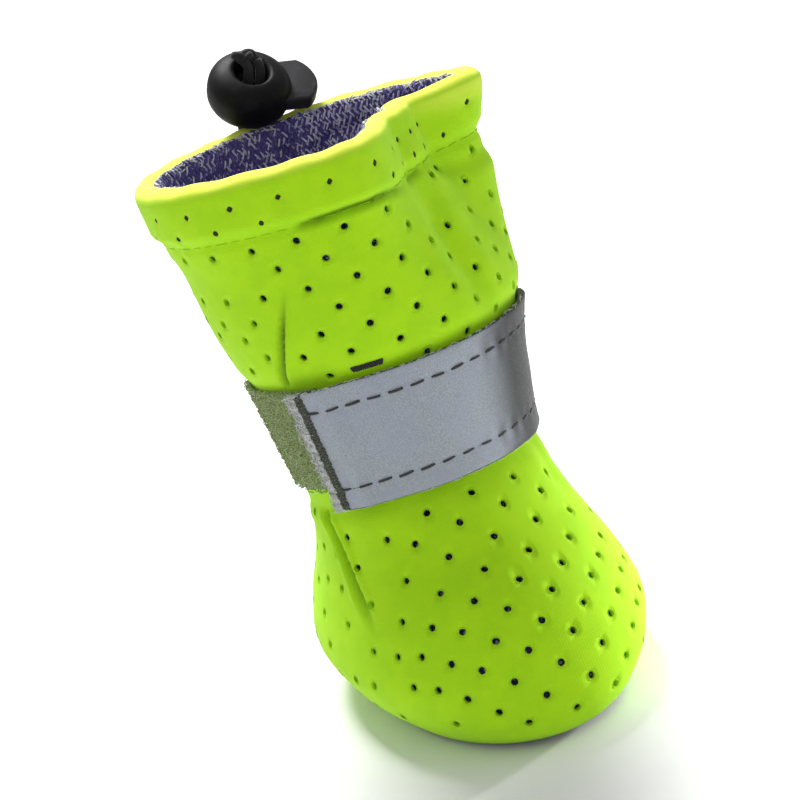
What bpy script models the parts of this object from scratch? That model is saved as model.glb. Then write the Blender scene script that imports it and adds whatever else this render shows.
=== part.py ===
"""Dog boot: a stretch fabric upper on a soft sole, with a reflective strap and a locked drawcord.

Metres, +Z up, the toe towards -Y. The origin is on the underside of the sole, under the middle
of the foot. A ring of the upper is read at a station, the distance up the boot's middle line,
and at a turn, the angle about that line from the toe (0) towards +X (a quarter turn).
"""

import math
from collections import namedtuple
from functools import lru_cache

import bmesh
import bpy
from mathutils import Euler, Matrix, Vector

# Foot
FOOT_LENGTH = 0.0660
FOOT_WIDTH = 0.0484
ANKLE_RISE = 0.0340
EDGE_RISE = 0.0004
TOE_SPRING = 0.0008

# Shaft and collar
ANKLE_WIDTH = 0.0364
ANKLE_SETBACK = 0.0062
SHAFT_LENGTH = 0.0552
SHAFT_LEAN = math.radians(10)
COLLAR_WIDTH = 0.0545
RIM_LEAN = math.radians(9)
WALL = 0.0020
HEM_HEIGHT = 0.0096
HEM_WALL = 0.0040
HEM_BULGE = 0.0009
HEM_RISE = 0.0022
STITCH_DIP = 0.0003

# Sole and insole
SOLE_THICKNESS = 0.0024
SOLE_ROUNDING = 0.0009
INSOLE_THICKNESS = 0.0015
GAP = 0.0003

# Strap and loop tape
STRAP_STATION = 0.0442
STRAP_WIDTH = 0.0200
STRAP_THICKNESS = 0.0013
STRAP_FROM = math.radians(-61)
STRAP_TO = math.radians(113)
TAPE_THICKNESS = 0.0009
TAPE_WIDTH = 0.0170
TAPE_LAP = math.radians(16)
TAPE_FREE = math.radians(11)

# Drawcord and its lock
CORD_DIAMETER = 0.0016
CORD_CLEARANCE = 0.0003
CORD_DROP = 0.0046
EXIT_TURN = math.radians(20)
LOCK_DIAMETER = 0.0135
LOCK_THICKNESS = 0.0092
LOCK_HOLE = 0.0054
LOCK_LIP = 0.0016
LOCK_SQUARE = 2.6
LOCK_TURNS = Euler((math.radians(33.5), math.radians(12.8), math.radians(-4.3)), "XYZ")
LOCK_HANG = 0.0033
LOCK_SEAT_TURN = math.radians(184.5)
PLUNGER_WIDTH = 0.0090
PLUNGER_THICKNESS = 0.0026
PLUNGER_REACH = 0.0112
PLUNGER_TRAVEL = 0.0020
PLUNGER_CLEARANCE = 0.0003
PLUNGER_HEEL = 0.0014
KNOT_SIZE = Vector((0.0048, 0.0024, 0.0022))

# Fineness of the meshes
AROUND = 48
BAND_STEP = math.radians(6)
LOCK_AROUND = 32

FootRow = namedtuple("FootRow", "name rise setback front back side square lean")
# rise: share of the ankle's rise. setback, front and back: shares of the foot's length.
# side: share of the foot's width. lean: share of the shaft's lean.
FOOT_ROWS = (
    FootRow("sole edge", 0.000, -0.045, 0.444, 0.439, 0.368, 2.1, 0.0),
    FootRow("turned under", 0.060, -0.045, 0.476, 0.476, 0.409, 2.1, 0.0),
    FootRow("side", 0.165, -0.045, 0.488, 0.503, 0.470, 2.1, 0.0),
    FootRow("widest", 0.315, -0.045, 0.471, 0.506, 0.508, 2.1, 0.0),
    FootRow("toe cap", 0.480, -0.030, 0.450, 0.485, 0.480, 2.1, 0.0),
    FootRow("toe top", 0.630, 0.000, 0.404, 0.445, 0.436, 2.1, 0.2),
    FootRow("vamp", 0.765, 0.038, 0.340, 0.398, 0.402, 2.1, 0.5),
    FootRow("instep", 0.885, 0.068, 0.308, 0.350, 0.384, 2.05, 0.8),
)

ShaftRow = namedtuple("ShaftRow", "name climb flare front back lean")
# climb: share of the shaft's length. flare: share of the way from the ankle's width to the
# collar's. front and back: shares of the half width. lean: share of the way to the rim's lean.
SHAFT_ROWS = (
    ShaftRow("ankle", 0.000, 0.000, 1.010, 1.050, 0.0),
    ShaftRow("under the strap", 0.185, 0.145, 1.000, 1.030, 0.0),
    ShaftRow("above the strap", 0.366, 0.310, 1.000, 1.000, 0.0),
    ShaftRow("calf", 0.500, 0.575, 1.000, 0.980, 0.0),
    ShaftRow("shaft", 0.665, 0.740, 1.000, 0.960, 0.2),
    ShaftRow("below the hem", 0.820, 0.884, 1.000, 0.940, 0.7),
    ShaftRow("rim", 1.000, 1.000, 1.000, 0.920, 1.0),
)

Fold = namedtuple("Fold", "name rises full fades ends low high top gone depth")
# rises, full, fades and ends: degrees of turn between which the slack shaft's fold comes and
# goes. low, high, top and gone: the same up the shaft, as shares of its length. depth: share
# of the collar's width, inwards.
FOLDS = (
    Fold("dent in front", -14, 34, 64, 94, 0.34, 1.00, 1.20, 1.30, 0.230),
    Fold("ear", 70, 86, 94, 122, 0.82, 0.97, 1.20, 1.30, -0.036),
    Fold("left roll", -150, -100, -80, -40, 0.70, 0.86, 0.92, 1.15, -0.020),
    Fold("right belly", 45, 80, 100, 140, 0.20, 0.46, 0.70, 0.84, -0.034),
)

Ring = namedtuple("Ring", "station y z front back side square lean")

LIME = (0.30, 0.53, 0.012)
TAPE_GREY = (0.29, 0.32, 0.39)
LOOP_GREY = (0.19, 0.22, 0.09)
BLACK = (0.022, 0.022, 0.024)
CHARCOAL = (0.035, 0.036, 0.040)


def smooth(value):
    """An even step from 0 to 1."""
    value = min(1.0, max(0.0, value))
    return value * value * (3.0 - 2.0 * value)


def steady(stations, values, at):
    """A smooth reading between the values that never overshoots them."""
    at = min(stations[-1], max(stations[0], at))
    last = len(stations) - 2
    k = next((i for i in range(last + 1) if at <= stations[i + 1]), last)

    def rise(i):
        return (values[i + 1] - values[i]) / (stations[i + 1] - stations[i])

    def slope(i):
        if i == 0 or i == last + 1:
            return rise(min(i, last))
        before, after = rise(i - 1), rise(i)
        return 0.0 if before * after <= 0.0 else 2.0 * before * after / (before + after)

    span = stations[k + 1] - stations[k]
    t = (at - stations[k]) / span
    return (
        values[k] * (1 + 2 * t) * (1 - t) ** 2
        + slope(k) * span * t * (1 - t) ** 2
        + values[k + 1] * t * t * (3 - 2 * t)
        - slope(k + 1) * span * t * t * (1 - t)
    )


def last_rings():
    """The rows of both tables as rings in metres."""
    rings = []
    for row in FOOT_ROWS:
        station = EDGE_RISE + row.rise * (ANKLE_RISE - EDGE_RISE)
        rings.append(Ring(
            station, row.setback * FOOT_LENGTH, station, row.front * FOOT_LENGTH,
            row.back * FOOT_LENGTH, row.side * FOOT_WIDTH, row.square, row.lean * SHAFT_LEAN,
        ))
    for row in SHAFT_ROWS:
        up = row.climb * SHAFT_LENGTH
        side = (ANKLE_WIDTH + row.flare * (COLLAR_WIDTH - ANKLE_WIDTH)) / 2
        rings.append(Ring(
            ANKLE_RISE + up, ANKLE_SETBACK + up * math.sin(SHAFT_LEAN),
            ANKLE_RISE + up * math.cos(SHAFT_LEAN), row.front * side, row.back * side, side,
            2.0, SHAFT_LEAN + row.lean * (RIM_LEAN - SHAFT_LEAN),
        ))
    return rings


RINGS = last_rings()
STATIONS = [ring.station for ring in RINGS]
RIM_STATION = STATIONS[-1]
HEM_STATION = RIM_STATION - HEM_HEIGHT


@lru_cache(maxsize=None)
def ring_at(station):
    """The last's ring at any station."""
    return Ring(station, *(steady(STATIONS, [ring[c] for ring in RINGS], station) for c in range(1, 8)))


def fold_depth(turn, station):
    """How far the folds push the wall in at one place."""
    climb = (station - ANKLE_RISE) / SHAFT_LENGTH
    degrees = (math.degrees(turn) + 180.0) % 360.0 - 180.0
    depth = 0.0
    for fold in FOLDS:
        into = smooth((degrees - fold.rises) / (fold.full - fold.rises))
        out = 1.0 - smooth((degrees - fold.fades) / (fold.ends - fold.fades))
        up = smooth((climb - fold.low) / (fold.high - fold.low))
        down = 1.0 - smooth((climb - fold.top) / (fold.gone - fold.top))
        depth += fold.depth * COLLAR_WIDTH * into * out * up * down
    return depth


def reach(turn, station):
    """The outside of the plain wall, from the middle line."""
    ring = ring_at(station)
    along = ring.front if math.cos(turn) > 0 else ring.back
    power = ring.square
    spread = (abs(math.cos(turn)) / along) ** power + (abs(math.sin(turn)) / ring.side) ** power
    return spread ** (-1.0 / power) - fold_depth(turn, station)


def hem_swell(station):
    """The hem's step: a dip at the stitch line, then the casing's bulge."""
    over = (station - HEM_STATION) / HEM_RISE
    dip = STITCH_DIP * max(0.0, 1.0 - abs(over) * 2.0)
    return HEM_BULGE * smooth(over) - dip


def outside(turn, station):
    """The outside of the upper with its hem, from the middle line."""
    return reach(turn, station) + hem_swell(station)


def slant(turn, station):
    """How much longer a cut across the slanting wall is than a square one."""
    step_turn, step_up = math.radians(2.0), 0.0006
    middle = reach(turn, station)
    around = (reach(turn + step_turn, station) - reach(turn - step_turn, station)) / (2 * step_turn)
    low, high = max(EDGE_RISE, station - step_up), min(RIM_STATION, station + step_up)
    drift = (ring_at(high).y - ring_at(low).y) * math.cos(turn)
    up = (reach(turn, high) - reach(turn, low) - drift) / (high - low)
    return math.sqrt(1.0 + (around / middle) ** 2 + up ** 2)


def wall_at(station):
    """The wall's thickness inside the plain outline."""
    return WALL + (HEM_WALL - HEM_BULGE - WALL) * smooth((station - HEM_STATION) / HEM_RISE)


def inside(turn, station):
    """The inside of the upper, from the middle line, never in over the sole's edge."""
    inner = reach(turn, station) - wall_at(station) * slant(turn, station)
    return max(inner, reach(turn, EDGE_RISE)) if station < ANKLE_RISE / 4 else inner


def toe_lift(y, z):
    """The toe spring, which fades towards the top of the toe."""
    start = -0.22 * FOOT_LENGTH
    ahead = (start - y) / (FOOT_LENGTH / 2 + start)
    return TOE_SPRING * smooth(ahead) * (1.0 - smooth(z / (ANKLE_RISE / 2)))


def place(turn, station, radius, lift=0.0):
    """The point at a radius from the middle line, lifted along it."""
    ring = ring_at(station)
    forward = Vector((0.0, -math.cos(ring.lean), math.sin(ring.lean)))
    up = Vector((0.0, math.sin(ring.lean), math.cos(ring.lean)))
    point = Vector((0.0, ring.y, ring.z)) + up * lift
    point += (Vector((1.0, 0.0, 0.0)) * math.sin(turn) + forward * math.cos(turn)) * radius
    point.z += toe_lift(point.y, point.z)
    return point


def colour(name, rgb, roughness, metallic=0.0):
    """A plain finish."""
    material = bpy.data.materials.new(name)
    material.use_nodes = True
    shader = material.node_tree.nodes["Principled BSDF"]
    shader.inputs["Base Color"].default_value = (*rgb, 1.0)
    shader.inputs["Roughness"].default_value = roughness
    shader.inputs["Metallic"].default_value = metallic
    return material


def mesh_object(name, points, faces, material=None):
    """An object from points and faces, with its faces turned outwards."""
    mesh = bpy.data.meshes.new(name)
    mesh.from_pydata([tuple(p) for p in points], [], faces)
    shape = bmesh.new()
    shape.from_mesh(mesh)
    bmesh.ops.recalc_face_normals(shape, faces=shape.faces[:])
    shape.to_mesh(mesh)
    shape.free()
    if material:
        mesh.materials.append(material)
    mesh.shade_smooth()
    mesh.set_sharp_from_angle(angle=math.radians(40))
    made = bpy.data.objects.new(name, mesh)
    bpy.context.collection.objects.link(made)
    return made


def loft(loops, closed_loops=False, cap=False):
    """Points and faces between loops of equal length; the loops can close, or be capped."""
    count = len(loops[0])
    points = [p for loop in loops for p in loop]
    faces = []
    pairs = len(loops) if closed_loops else len(loops) - 1
    for i in range(pairs):
        a, b = i * count, (i + 1) % len(loops) * count
        faces += [(a + j, a + (j + 1) % count, b + (j + 1) % count, b + j) for j in range(count)]
    if cap:
        faces.append(tuple(range(count))[::-1])
        faces.append(tuple((len(loops) - 1) * count + j for j in range(count)))
    return points, faces


def cut(target, cutter):
    """Takes a cutter's shape out of an object."""
    cutter.hide_render = True
    cutter.display_type = "WIRE"
    bite = target.modifiers.new("cut by " + cutter.name, "BOOLEAN")
    bite.operation = "DIFFERENCE"
    bite.solver = "EXACT"
    bite.object = cutter


def turns():
    """The turns of the points of a ring."""
    return [2 * math.pi * j / AROUND for j in range(AROUND)]


def span(low, high, pieces):
    """Even steps from low up to, and without, high."""
    return [low + (high - low) * i / pieces for i in range(pieces)]


def outer_stations():
    """Where the outside's rings lie: close where it curves and at the hem's step."""
    foot = [row.rise for row in FOOT_ROWS] + [1.0]
    shares = [low + (high - low) * half for low, high in zip(foot, foot[1:]) for half in (0.0, 0.5)]
    low = [EDGE_RISE + share * (ANKLE_RISE - EDGE_RISE) for share in shares]
    shaft = span(ANKLE_RISE, HEM_STATION - HEM_RISE / 2, 13)
    step = [HEM_STATION + HEM_RISE * share for share in (-0.5, 0.0, 0.4, 1.0)]
    hem = span(HEM_STATION + HEM_RISE, RIM_STATION - HEM_WALL / 2, 3)[1:]
    return low + shaft + step + hem


def inner_stations():
    """Where the inside's rings lie, from the top of the sole."""
    first = EDGE_RISE + WALL + SOLE_ROUNDING / 4
    foot = span(first, ANKLE_RISE, 10)
    shaft = span(ANKLE_RISE, HEM_STATION, 10)
    hem = [HEM_STATION, HEM_STATION + HEM_RISE, (HEM_STATION + RIM_STATION) / 2]
    return foot + shaft + hem


def make_upper(fabric):
    """The upper: one wall, open at the collar and over the sole, with the hem as its step."""
    loops = [[place(t, s, outside(t, s)) for t in turns()] for s in outer_stations()]
    cap_station = RIM_STATION - HEM_WALL / 2
    for bend in (0, 45, 90, 135, 180):
        angle = math.radians(bend)
        loop = []
        for t in turns():
            out, into = outside(t, cap_station), inside(t, cap_station)
            radius = (out + into) / 2 + (out - into) / 2 * math.cos(angle)
            loop.append(place(t, cap_station, radius, HEM_WALL / 2 * math.sin(angle)))
        loops.append(loop)
    for s in reversed(inner_stations()):
        loops.append([place(t, s, inside(t, s)) for t in turns()])
    return mesh_object("upper", *loft(loops, closed_loops=True), fabric)


def sole_plate(name, low, high, inset, rounding, material):
    """A plate inside the upper's lower edge, round below, with rings that take the toe spring."""
    edge = [reach(t, EDGE_RISE) - inset for t in turns()]
    profile = [(share, -1.0, low) for share in (0.35, 0.7)]
    profile += [(1.0, 1.0 - math.sin(a), low + rounding * (1.0 - math.cos(a)))
                for a in (0.0, math.pi / 4, math.pi / 2)]
    profile += [(1.0, 0.0, high)] + [(share, -1.0, high) for share in (0.7, 0.35)]
    centre_y = ring_at(EDGE_RISE).y
    loops = []
    for share, tuck, z in profile:
        loop = []
        for t, r in zip(turns(), edge):
            radius = share * (r - rounding * max(0.0, tuck))
            y = centre_y - radius * math.cos(t)
            loop.append(Vector((radius * math.sin(t), y, z + toe_lift(y, z))))
        loops.append(loop)
    points, faces = loft(loops)
    for first, z in ((0, low), ((len(loops) - 1) * AROUND, high)):
        points.append(Vector((0.0, centre_y, z)))
        hub = len(points) - 1
        faces += [(first + j, first + (j + 1) % AROUND, hub) for j in range(AROUND)]
    return mesh_object(name, points, faces, material)


def band(name, start, end, middle, width, thickness, stand_off, material):
    """A flat tape round the ankle, with eased edges; stand_off(turn) holds it off the upper."""
    ease = thickness / 4
    half = width / 2
    section = (
        (-half + ease, 0.0), (0.0, 0.0), (half - ease, 0.0), (half, ease),
        (half, thickness - ease), (half - ease, thickness), (0.0, thickness),
        (-half + ease, thickness), (-half, thickness - ease), (-half, ease),
    )
    pieces = max(4, round((end - start) / BAND_STEP))
    loops = []
    for i in range(pieces + 1):
        t = start + (end - start) * i / pieces
        loops.append([
            place(t, middle + across, reach(t, middle + across) + stand_off(t) + out)
            for across, out in section
        ])
    return mesh_object(name, *loft(loops, cap=True), material)


TAPE_FROM = STRAP_TO - TAPE_LAP
TAPE_TO = STRAP_FROM + TAPE_FREE + 2 * math.pi


def strap_stand_off(turn):
    """The strap lies on the upper, and on the loop tape at both of its ends."""
    over = TAPE_THICKNESS + GAP
    ramp = math.radians(12)
    at_free = smooth((turn - TAPE_FROM + ramp) / (ramp - BAND_STEP / 2))
    at_sewn = 1.0 - smooth((turn - (TAPE_TO - 2 * math.pi) - BAND_STEP / 2) / ramp)
    return GAP + over * max(at_free, at_sewn)


def lock_matrix():
    """The cord lock's place: on top of the rim's back, tipped towards the toe."""
    cap_station = RIM_STATION - HEM_WALL / 2
    middle = (outside(LOCK_SEAT_TURN, cap_station) + inside(LOCK_SEAT_TURN, cap_station)) / 2
    seat = place(LOCK_SEAT_TURN, cap_station, middle, HEM_WALL / 2)
    turned = LOCK_TURNS.to_matrix()
    centre = seat + turned @ Vector((0.0, LOCK_HANG, LOCK_THICKNESS / 2 + GAP))
    return Matrix.Translation(centre) @ turned.to_4x4()


STRAND_OUTER = LOCK_HOLE / 2 - CORD_CLEARANCE - CORD_DIAMETER / 2
STRAND_INNER = STRAND_OUTER - CORD_DIAMETER - CORD_CLEARANCE
KNOT_PLACE = Vector((-0.0008, 0.0023, LOCK_THICKNESS / 2 + 0.0007))

StrandRow = namedtuple("StrandRow", "name back rise")
# back and rise: from the lock's middle, away from the toe and up its hole, in metres.
STRAND_ROWS = (
    StrandRow("behind the rim", -0.0008, -0.0083),
    StrandRow("under the lock", -0.0001, -0.0060),
    StrandRow("in the hole", 0.0, -0.0030),
    StrandRow("past the plunger", 0.0, 0.0),
    StrandRow("above the plunger", 0.0002, 0.0020),
    StrandRow("towards the knot", 0.0006, 0.0032),
    StrandRow("under the knot", 0.0010, 0.0040),
)


def strand_points(x, side):
    """One end of the cord, from the hem's back up through the lock, in the boot's frame."""
    lock = lock_matrix()
    station = RIM_STATION - CORD_DROP
    turn = math.pi - side * math.radians(5)
    leaving = place(turn, station, outside(turn, station) + CORD_DIAMETER)
    return [leaving] + [lock @ Vector((x, row.back, row.rise)) for row in STRAND_ROWS]


def casing_points():
    """The cord's way round inside the hem, from one side of the back to the other."""
    station = RIM_STATION - CORD_DROP
    start, end = -math.pi + EXIT_TURN, math.pi - EXIT_TURN
    points = []
    for i in range(AROUND):
        t = start + (end - start) * i / (AROUND - 1)
        points.append(place(t, station, (outside(t, station) + inside(t, station)) / 2))
    return points


def smooth_route(points, step):
    """Evenly spaced points of a smooth curve through the route's own points."""
    fine = []
    for i in range(len(points) - 1):
        p0, p1 = points[max(0, i - 1)], points[i]
        p2, p3 = points[i + 1], points[min(len(points) - 1, i + 2)]
        for k in range(12):
            t = k / 12
            fine.append(0.5 * (2 * p1 + (p2 - p0) * t + (2 * p0 - 5 * p1 + 4 * p2 - p3) * t ** 2
                               + (3 * p1 - p0 - 3 * p2 + p3) * t ** 3))
    fine.append(points[-1])
    lengths = [0.0]
    for a, b in zip(fine, fine[1:]):
        lengths.append(lengths[-1] + (b - a).length)
    count = max(2, round(lengths[-1] / step))
    even, k = [], 0
    for i in range(count + 1):
        want = lengths[-1] * i / count
        while k < len(lengths) - 2 and lengths[k + 1] < want:
            k += 1
        share = (want - lengths[k]) / (lengths[k + 1] - lengths[k])
        even.append(fine[k].lerp(fine[k + 1], share))
    return even


def cord_route():
    """The whole cord: knot, lock, round the hem, lock and knot again."""
    left = strand_points(STRAND_INNER, -1)
    right = strand_points(STRAND_OUTER, 1)
    return smooth_route(left[::-1] + casing_points() + right, 2 * CORD_DIAMETER)


def cord_object(name, points, diameter, material=None):
    """A round cord along the points."""
    data = bpy.data.curves.new(name, "CURVE")
    data.dimensions = "3D"
    data.bevel_depth = diameter / 2
    data.bevel_resolution = 2
    data.use_fill_caps = True
    spline = data.splines.new("POLY")
    spline.points.add(len(points) - 1)
    for slot, point in zip(spline.points, points):
        slot.co = (*point, 1.0)
    if material:
        data.materials.append(material)
    made = bpy.data.objects.new(name, data)
    bpy.context.collection.objects.link(made)
    return made


def cut_channel(upper):
    """The drawcord's channel in the hem, with its two ways out at the back."""
    channel = cord_object("channel_guide", cord_route(), CORD_DIAMETER + 2 * CORD_CLEARANCE)
    mesh = bpy.data.meshes.new_from_object(channel.evaluated_get(bpy.context.evaluated_depsgraph_get()))
    cutter = bpy.data.objects.new("channel_cutter", mesh)
    bpy.context.collection.objects.link(cutter)
    bpy.data.objects.remove(channel)
    cut(upper, cutter)


def rounded_slot(name, back, front, width, height, square_front):
    """A closed block with a round back end, and a round or square front end."""
    half = width / 2
    outline = []
    for i in range(13):
        a = math.pi / 2 + math.pi * i / 12
        outline.append((back + half + half * math.cos(a), half * math.sin(a)))
    if square_front:
        outline += [(front, -half), (front, half)]
    else:
        bow = width * 0.62
        swing = math.asin(half / bow)
        for i in range(11):
            a = -swing + 2 * swing * i / 10
            outline.append((front - bow + bow * math.cos(a), bow * math.sin(a)))
    loops = [[Vector((x, y, z)) for x, y in outline] for z in (-height / 2, height / 2)]
    return mesh_object(name, *loft(loops, cap=True))


def make_lock(mount, plastic):
    """The lock's body: a flattened ball with a cord hole across a pocket for the plunger."""
    radius, half = LOCK_DIAMETER / 2, LOCK_THICKNESS / 2
    loops = []
    for i in range(1, 12):
        a = math.pi * i / 12
        r = radius * abs(math.sin(a)) ** (2 / LOCK_SQUARE)
        z = -half * math.copysign(abs(math.cos(a)) ** (2 / LOCK_SQUARE), math.cos(a))
        loops.append([Vector((r * math.cos(b), r * math.sin(b), z))
                      for b in span(0.0, 2 * math.pi, LOCK_AROUND)])
    body = mesh_object("cord_lock_body", *loft(loops, cap=True), plastic)
    body.parent = mount
    flare = [(LOCK_HOLE / 2 + LOCK_LIP, LOCK_THICKNESS)]
    for i in range(5):
        a = math.pi / 2 * (1.0 - i / 4)
        flare.append((LOCK_HOLE / 2 + LOCK_LIP * (1.0 - math.cos(a)), half - LOCK_LIP * (1.0 - math.sin(a))))
    flare = [(r, -z) for r, z in flare] + flare[::-1]
    hole_loops = [[Vector((r * math.cos(b), r * math.sin(b), z))
                   for b in span(0.0, 2 * math.pi, 24)] for r, z in flare]
    hole = mesh_object("cord_hole", *loft(hole_loops, cap=True))
    pocket_back = plunger_back() - PLUNGER_TRAVEL - PLUNGER_CLEARANCE
    pocket = rounded_slot(
        "plunger_pocket", pocket_back, LOCK_DIAMETER, PLUNGER_WIDTH + 2 * PLUNGER_CLEARANCE,
        PLUNGER_THICKNESS + 2 * PLUNGER_CLEARANCE, True,
    )
    for cutter in (hole, pocket):
        cutter.parent = mount
        cut(body, cutter)
    return body


def slot_back():
    """The plunger's edge that grips the cord."""
    return STRAND_INNER - CORD_DIAMETER / 2 - CORD_CLEARANCE


def plunger_back():
    """The plunger's end inside the body."""
    return slot_back() - PLUNGER_HEEL


def make_plunger(mount, plastic):
    """The plunger: a flat paddle with a round end and a slot that grips the cord."""
    plunger = rounded_slot(
        "cord_lock_plunger", plunger_back(), PLUNGER_REACH, PLUNGER_WIDTH, PLUNGER_THICKNESS, False,
    )
    plunger.data.materials.append(plastic)
    plunger.parent = mount
    slot_front = LOCK_HOLE / 2 + PLUNGER_TRAVEL
    slot = rounded_slot("cord_slot", slot_back(), slot_front, LOCK_HOLE - 2 * CORD_CLEARANCE,
                        2 * PLUNGER_THICKNESS, True)
    slot.parent = mount
    edges = plunger.modifiers.new("eased edges", "BEVEL")
    edges.width = 0.0004
    edges.segments = 1
    edges.limit_method = "ANGLE"
    edges.angle_limit = math.radians(60)
    cut(plunger, slot)
    return plunger


def make_knot(mount, cord_finish):
    """The knot that ties the cord's two ends, lying on the lock."""
    loops = []
    for i in range(1, 8):
        a = math.pi * i / 8
        loops.append([Vector((
            KNOT_PLACE.x - KNOT_SIZE.x / 2 * math.cos(a),
            KNOT_PLACE.y + KNOT_SIZE.y / 2 * math.sin(a) * math.cos(b),
            KNOT_PLACE.z + KNOT_SIZE.z / 2 * math.sin(a) * math.sin(b),
        )) for b in span(0.0, 2 * math.pi, 16)])
    knot = mesh_object("drawcord_knot", *loft(loops, cap=True), cord_finish)
    knot.parent = mount
    return knot


def main():
    for old in list(bpy.data.objects):
        bpy.data.objects.remove(old)
    fabric = colour("lime perforated fabric", LIME, 0.85)
    rubber = colour("charcoal sole", CHARCOAL, 0.8)
    liner = colour("charcoal liner", CHARCOAL, 0.95)
    reflective = colour("grey reflective tape", TAPE_GREY, 0.45, 0.1)
    fuzzy = colour("grey green loop tape", LOOP_GREY, 1.0)
    plastic = colour("black plastic", BLACK, 0.5)
    elastic = colour("black elastic", BLACK, 0.8)

    sole_plate("sole", 0.0, SOLE_THICKNESS, GAP, SOLE_ROUNDING, rubber)
    insole_low = SOLE_THICKNESS + GAP
    sole_plate("insole", insole_low, insole_low + INSOLE_THICKNESS, GAP, INSOLE_THICKNESS / 5, liner)
    upper = make_upper(fabric)
    cut_channel(upper)
    band("strap", STRAP_FROM, STRAP_TO, STRAP_STATION, STRAP_WIDTH, STRAP_THICKNESS,
         strap_stand_off, reflective)
    tape_station = STRAP_STATION + (STRAP_WIDTH - TAPE_WIDTH) / 2
    band("loop_tape", TAPE_FROM, TAPE_TO, tape_station, TAPE_WIDTH, TAPE_THICKNESS,
         lambda turn: GAP, fuzzy)

    mount = bpy.data.objects.new("cord_lock_mount", None)
    bpy.context.collection.objects.link(mount)
    mount.matrix_world = lock_matrix()
    make_lock(mount, plastic)
    make_plunger(mount, plastic)
    make_knot(mount, elastic)
    cord_object("drawcord", cord_route(), CORD_DIAMETER, elastic)


main()
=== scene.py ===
import math
import random
from collections import namedtuple
from functools import lru_cache

import bmesh
import bpy
from bpy.props import FloatProperty, FloatVectorProperty, IntProperty, PointerProperty
from mathutils import Euler, Matrix, Vector


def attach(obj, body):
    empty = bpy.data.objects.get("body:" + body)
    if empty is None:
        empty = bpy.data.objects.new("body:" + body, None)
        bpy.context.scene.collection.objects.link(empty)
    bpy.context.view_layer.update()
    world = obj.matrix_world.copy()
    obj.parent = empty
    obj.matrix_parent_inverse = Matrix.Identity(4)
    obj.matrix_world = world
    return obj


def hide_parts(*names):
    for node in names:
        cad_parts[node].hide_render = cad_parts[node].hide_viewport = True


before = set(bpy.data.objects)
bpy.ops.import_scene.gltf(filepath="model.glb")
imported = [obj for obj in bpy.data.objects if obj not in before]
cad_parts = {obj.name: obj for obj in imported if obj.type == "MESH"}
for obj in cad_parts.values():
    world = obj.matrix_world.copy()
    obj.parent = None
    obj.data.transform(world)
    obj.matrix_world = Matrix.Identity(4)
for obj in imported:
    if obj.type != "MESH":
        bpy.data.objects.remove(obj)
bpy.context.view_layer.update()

bl_info = {
    "name": "Dog Boot",
    "version": (1, 0, 0),
    "blender": (4, 5, 0),
    "location": "View3D > Sidebar > Dog Boot",
    "description": "A soft dog boot: perforated stretch fabric, reflective strap, drawcord and cord lock",
    "category": "Object",
}

# The last and the pieces, in metres, as the solids have them
FOOT_LENGTH = 0.0660
FOOT_WIDTH = 0.0484
ANKLE_RISE = 0.0340
EDGE_RISE = 0.0004
TOE_SPRING = 0.0008
ANKLE_WIDTH = 0.0364
ANKLE_SETBACK = 0.0062
SHAFT_LENGTH = 0.0552
SHAFT_LEAN = math.radians(10)
COLLAR_WIDTH = 0.0545
RIM_LEAN = math.radians(9)
WALL = 0.0020
HEM_HEIGHT = 0.0096
HEM_WALL = 0.0040
HEM_BULGE = 0.0009
HEM_RISE = 0.0022
STITCH_DIP = 0.0003
SOLE_THICKNESS = 0.0024
SOLE_ROUNDING = 0.0009
INSOLE_THICKNESS = 0.0015
GAP = 0.0003
STRAP_STATION = 0.0442
STRAP_WIDTH = 0.0200
STRAP_THICKNESS = 0.0013
STRAP_FROM = math.radians(-61)
STRAP_TO = math.radians(113)
STRAP_STEP = math.radians(6)
TAPE_THICKNESS = 0.0009
TAPE_WIDTH = 0.0170
TAPE_STATION = STRAP_STATION + (STRAP_WIDTH - TAPE_WIDTH) / 2
TAPE_FROM = STRAP_TO - math.radians(16)
TAPE_TO = STRAP_FROM + math.radians(11) + 2 * math.pi
CORD_DIAMETER = 0.0016
CORD_CLEARANCE = 0.0003
CORD_DROP = 0.0046
EXIT_TURN = math.radians(20)
LOCK_DIAMETER = 0.0135
LOCK_THICKNESS = 0.0092
LOCK_HOLE = 0.0054
LOCK_LIP = 0.0016
LOCK_SQUARE = 2.6
LOCK_TURNS = Euler((math.radians(33.5), math.radians(12.8), math.radians(-4.3)), "XYZ")
LOCK_HANG = 0.0033
LOCK_SEAT_TURN = math.radians(184.5)
PLUNGER_WIDTH = 0.0090
PLUNGER_THICKNESS = 0.0026
PLUNGER_REACH = 0.0112
PLUNGER_TRAVEL = 0.0020
PLUNGER_CLEARANCE = 0.0003
PLUNGER_HEEL = 0.0014
KNOT_SIZE = Vector((0.0048, 0.0024, 0.0022))
KNOT_PLACE = Vector((-0.0008, 0.0023, LOCK_THICKNESS / 2 + 0.0007))

FootRow = namedtuple("FootRow", "rise setback front back side square lean")
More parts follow.
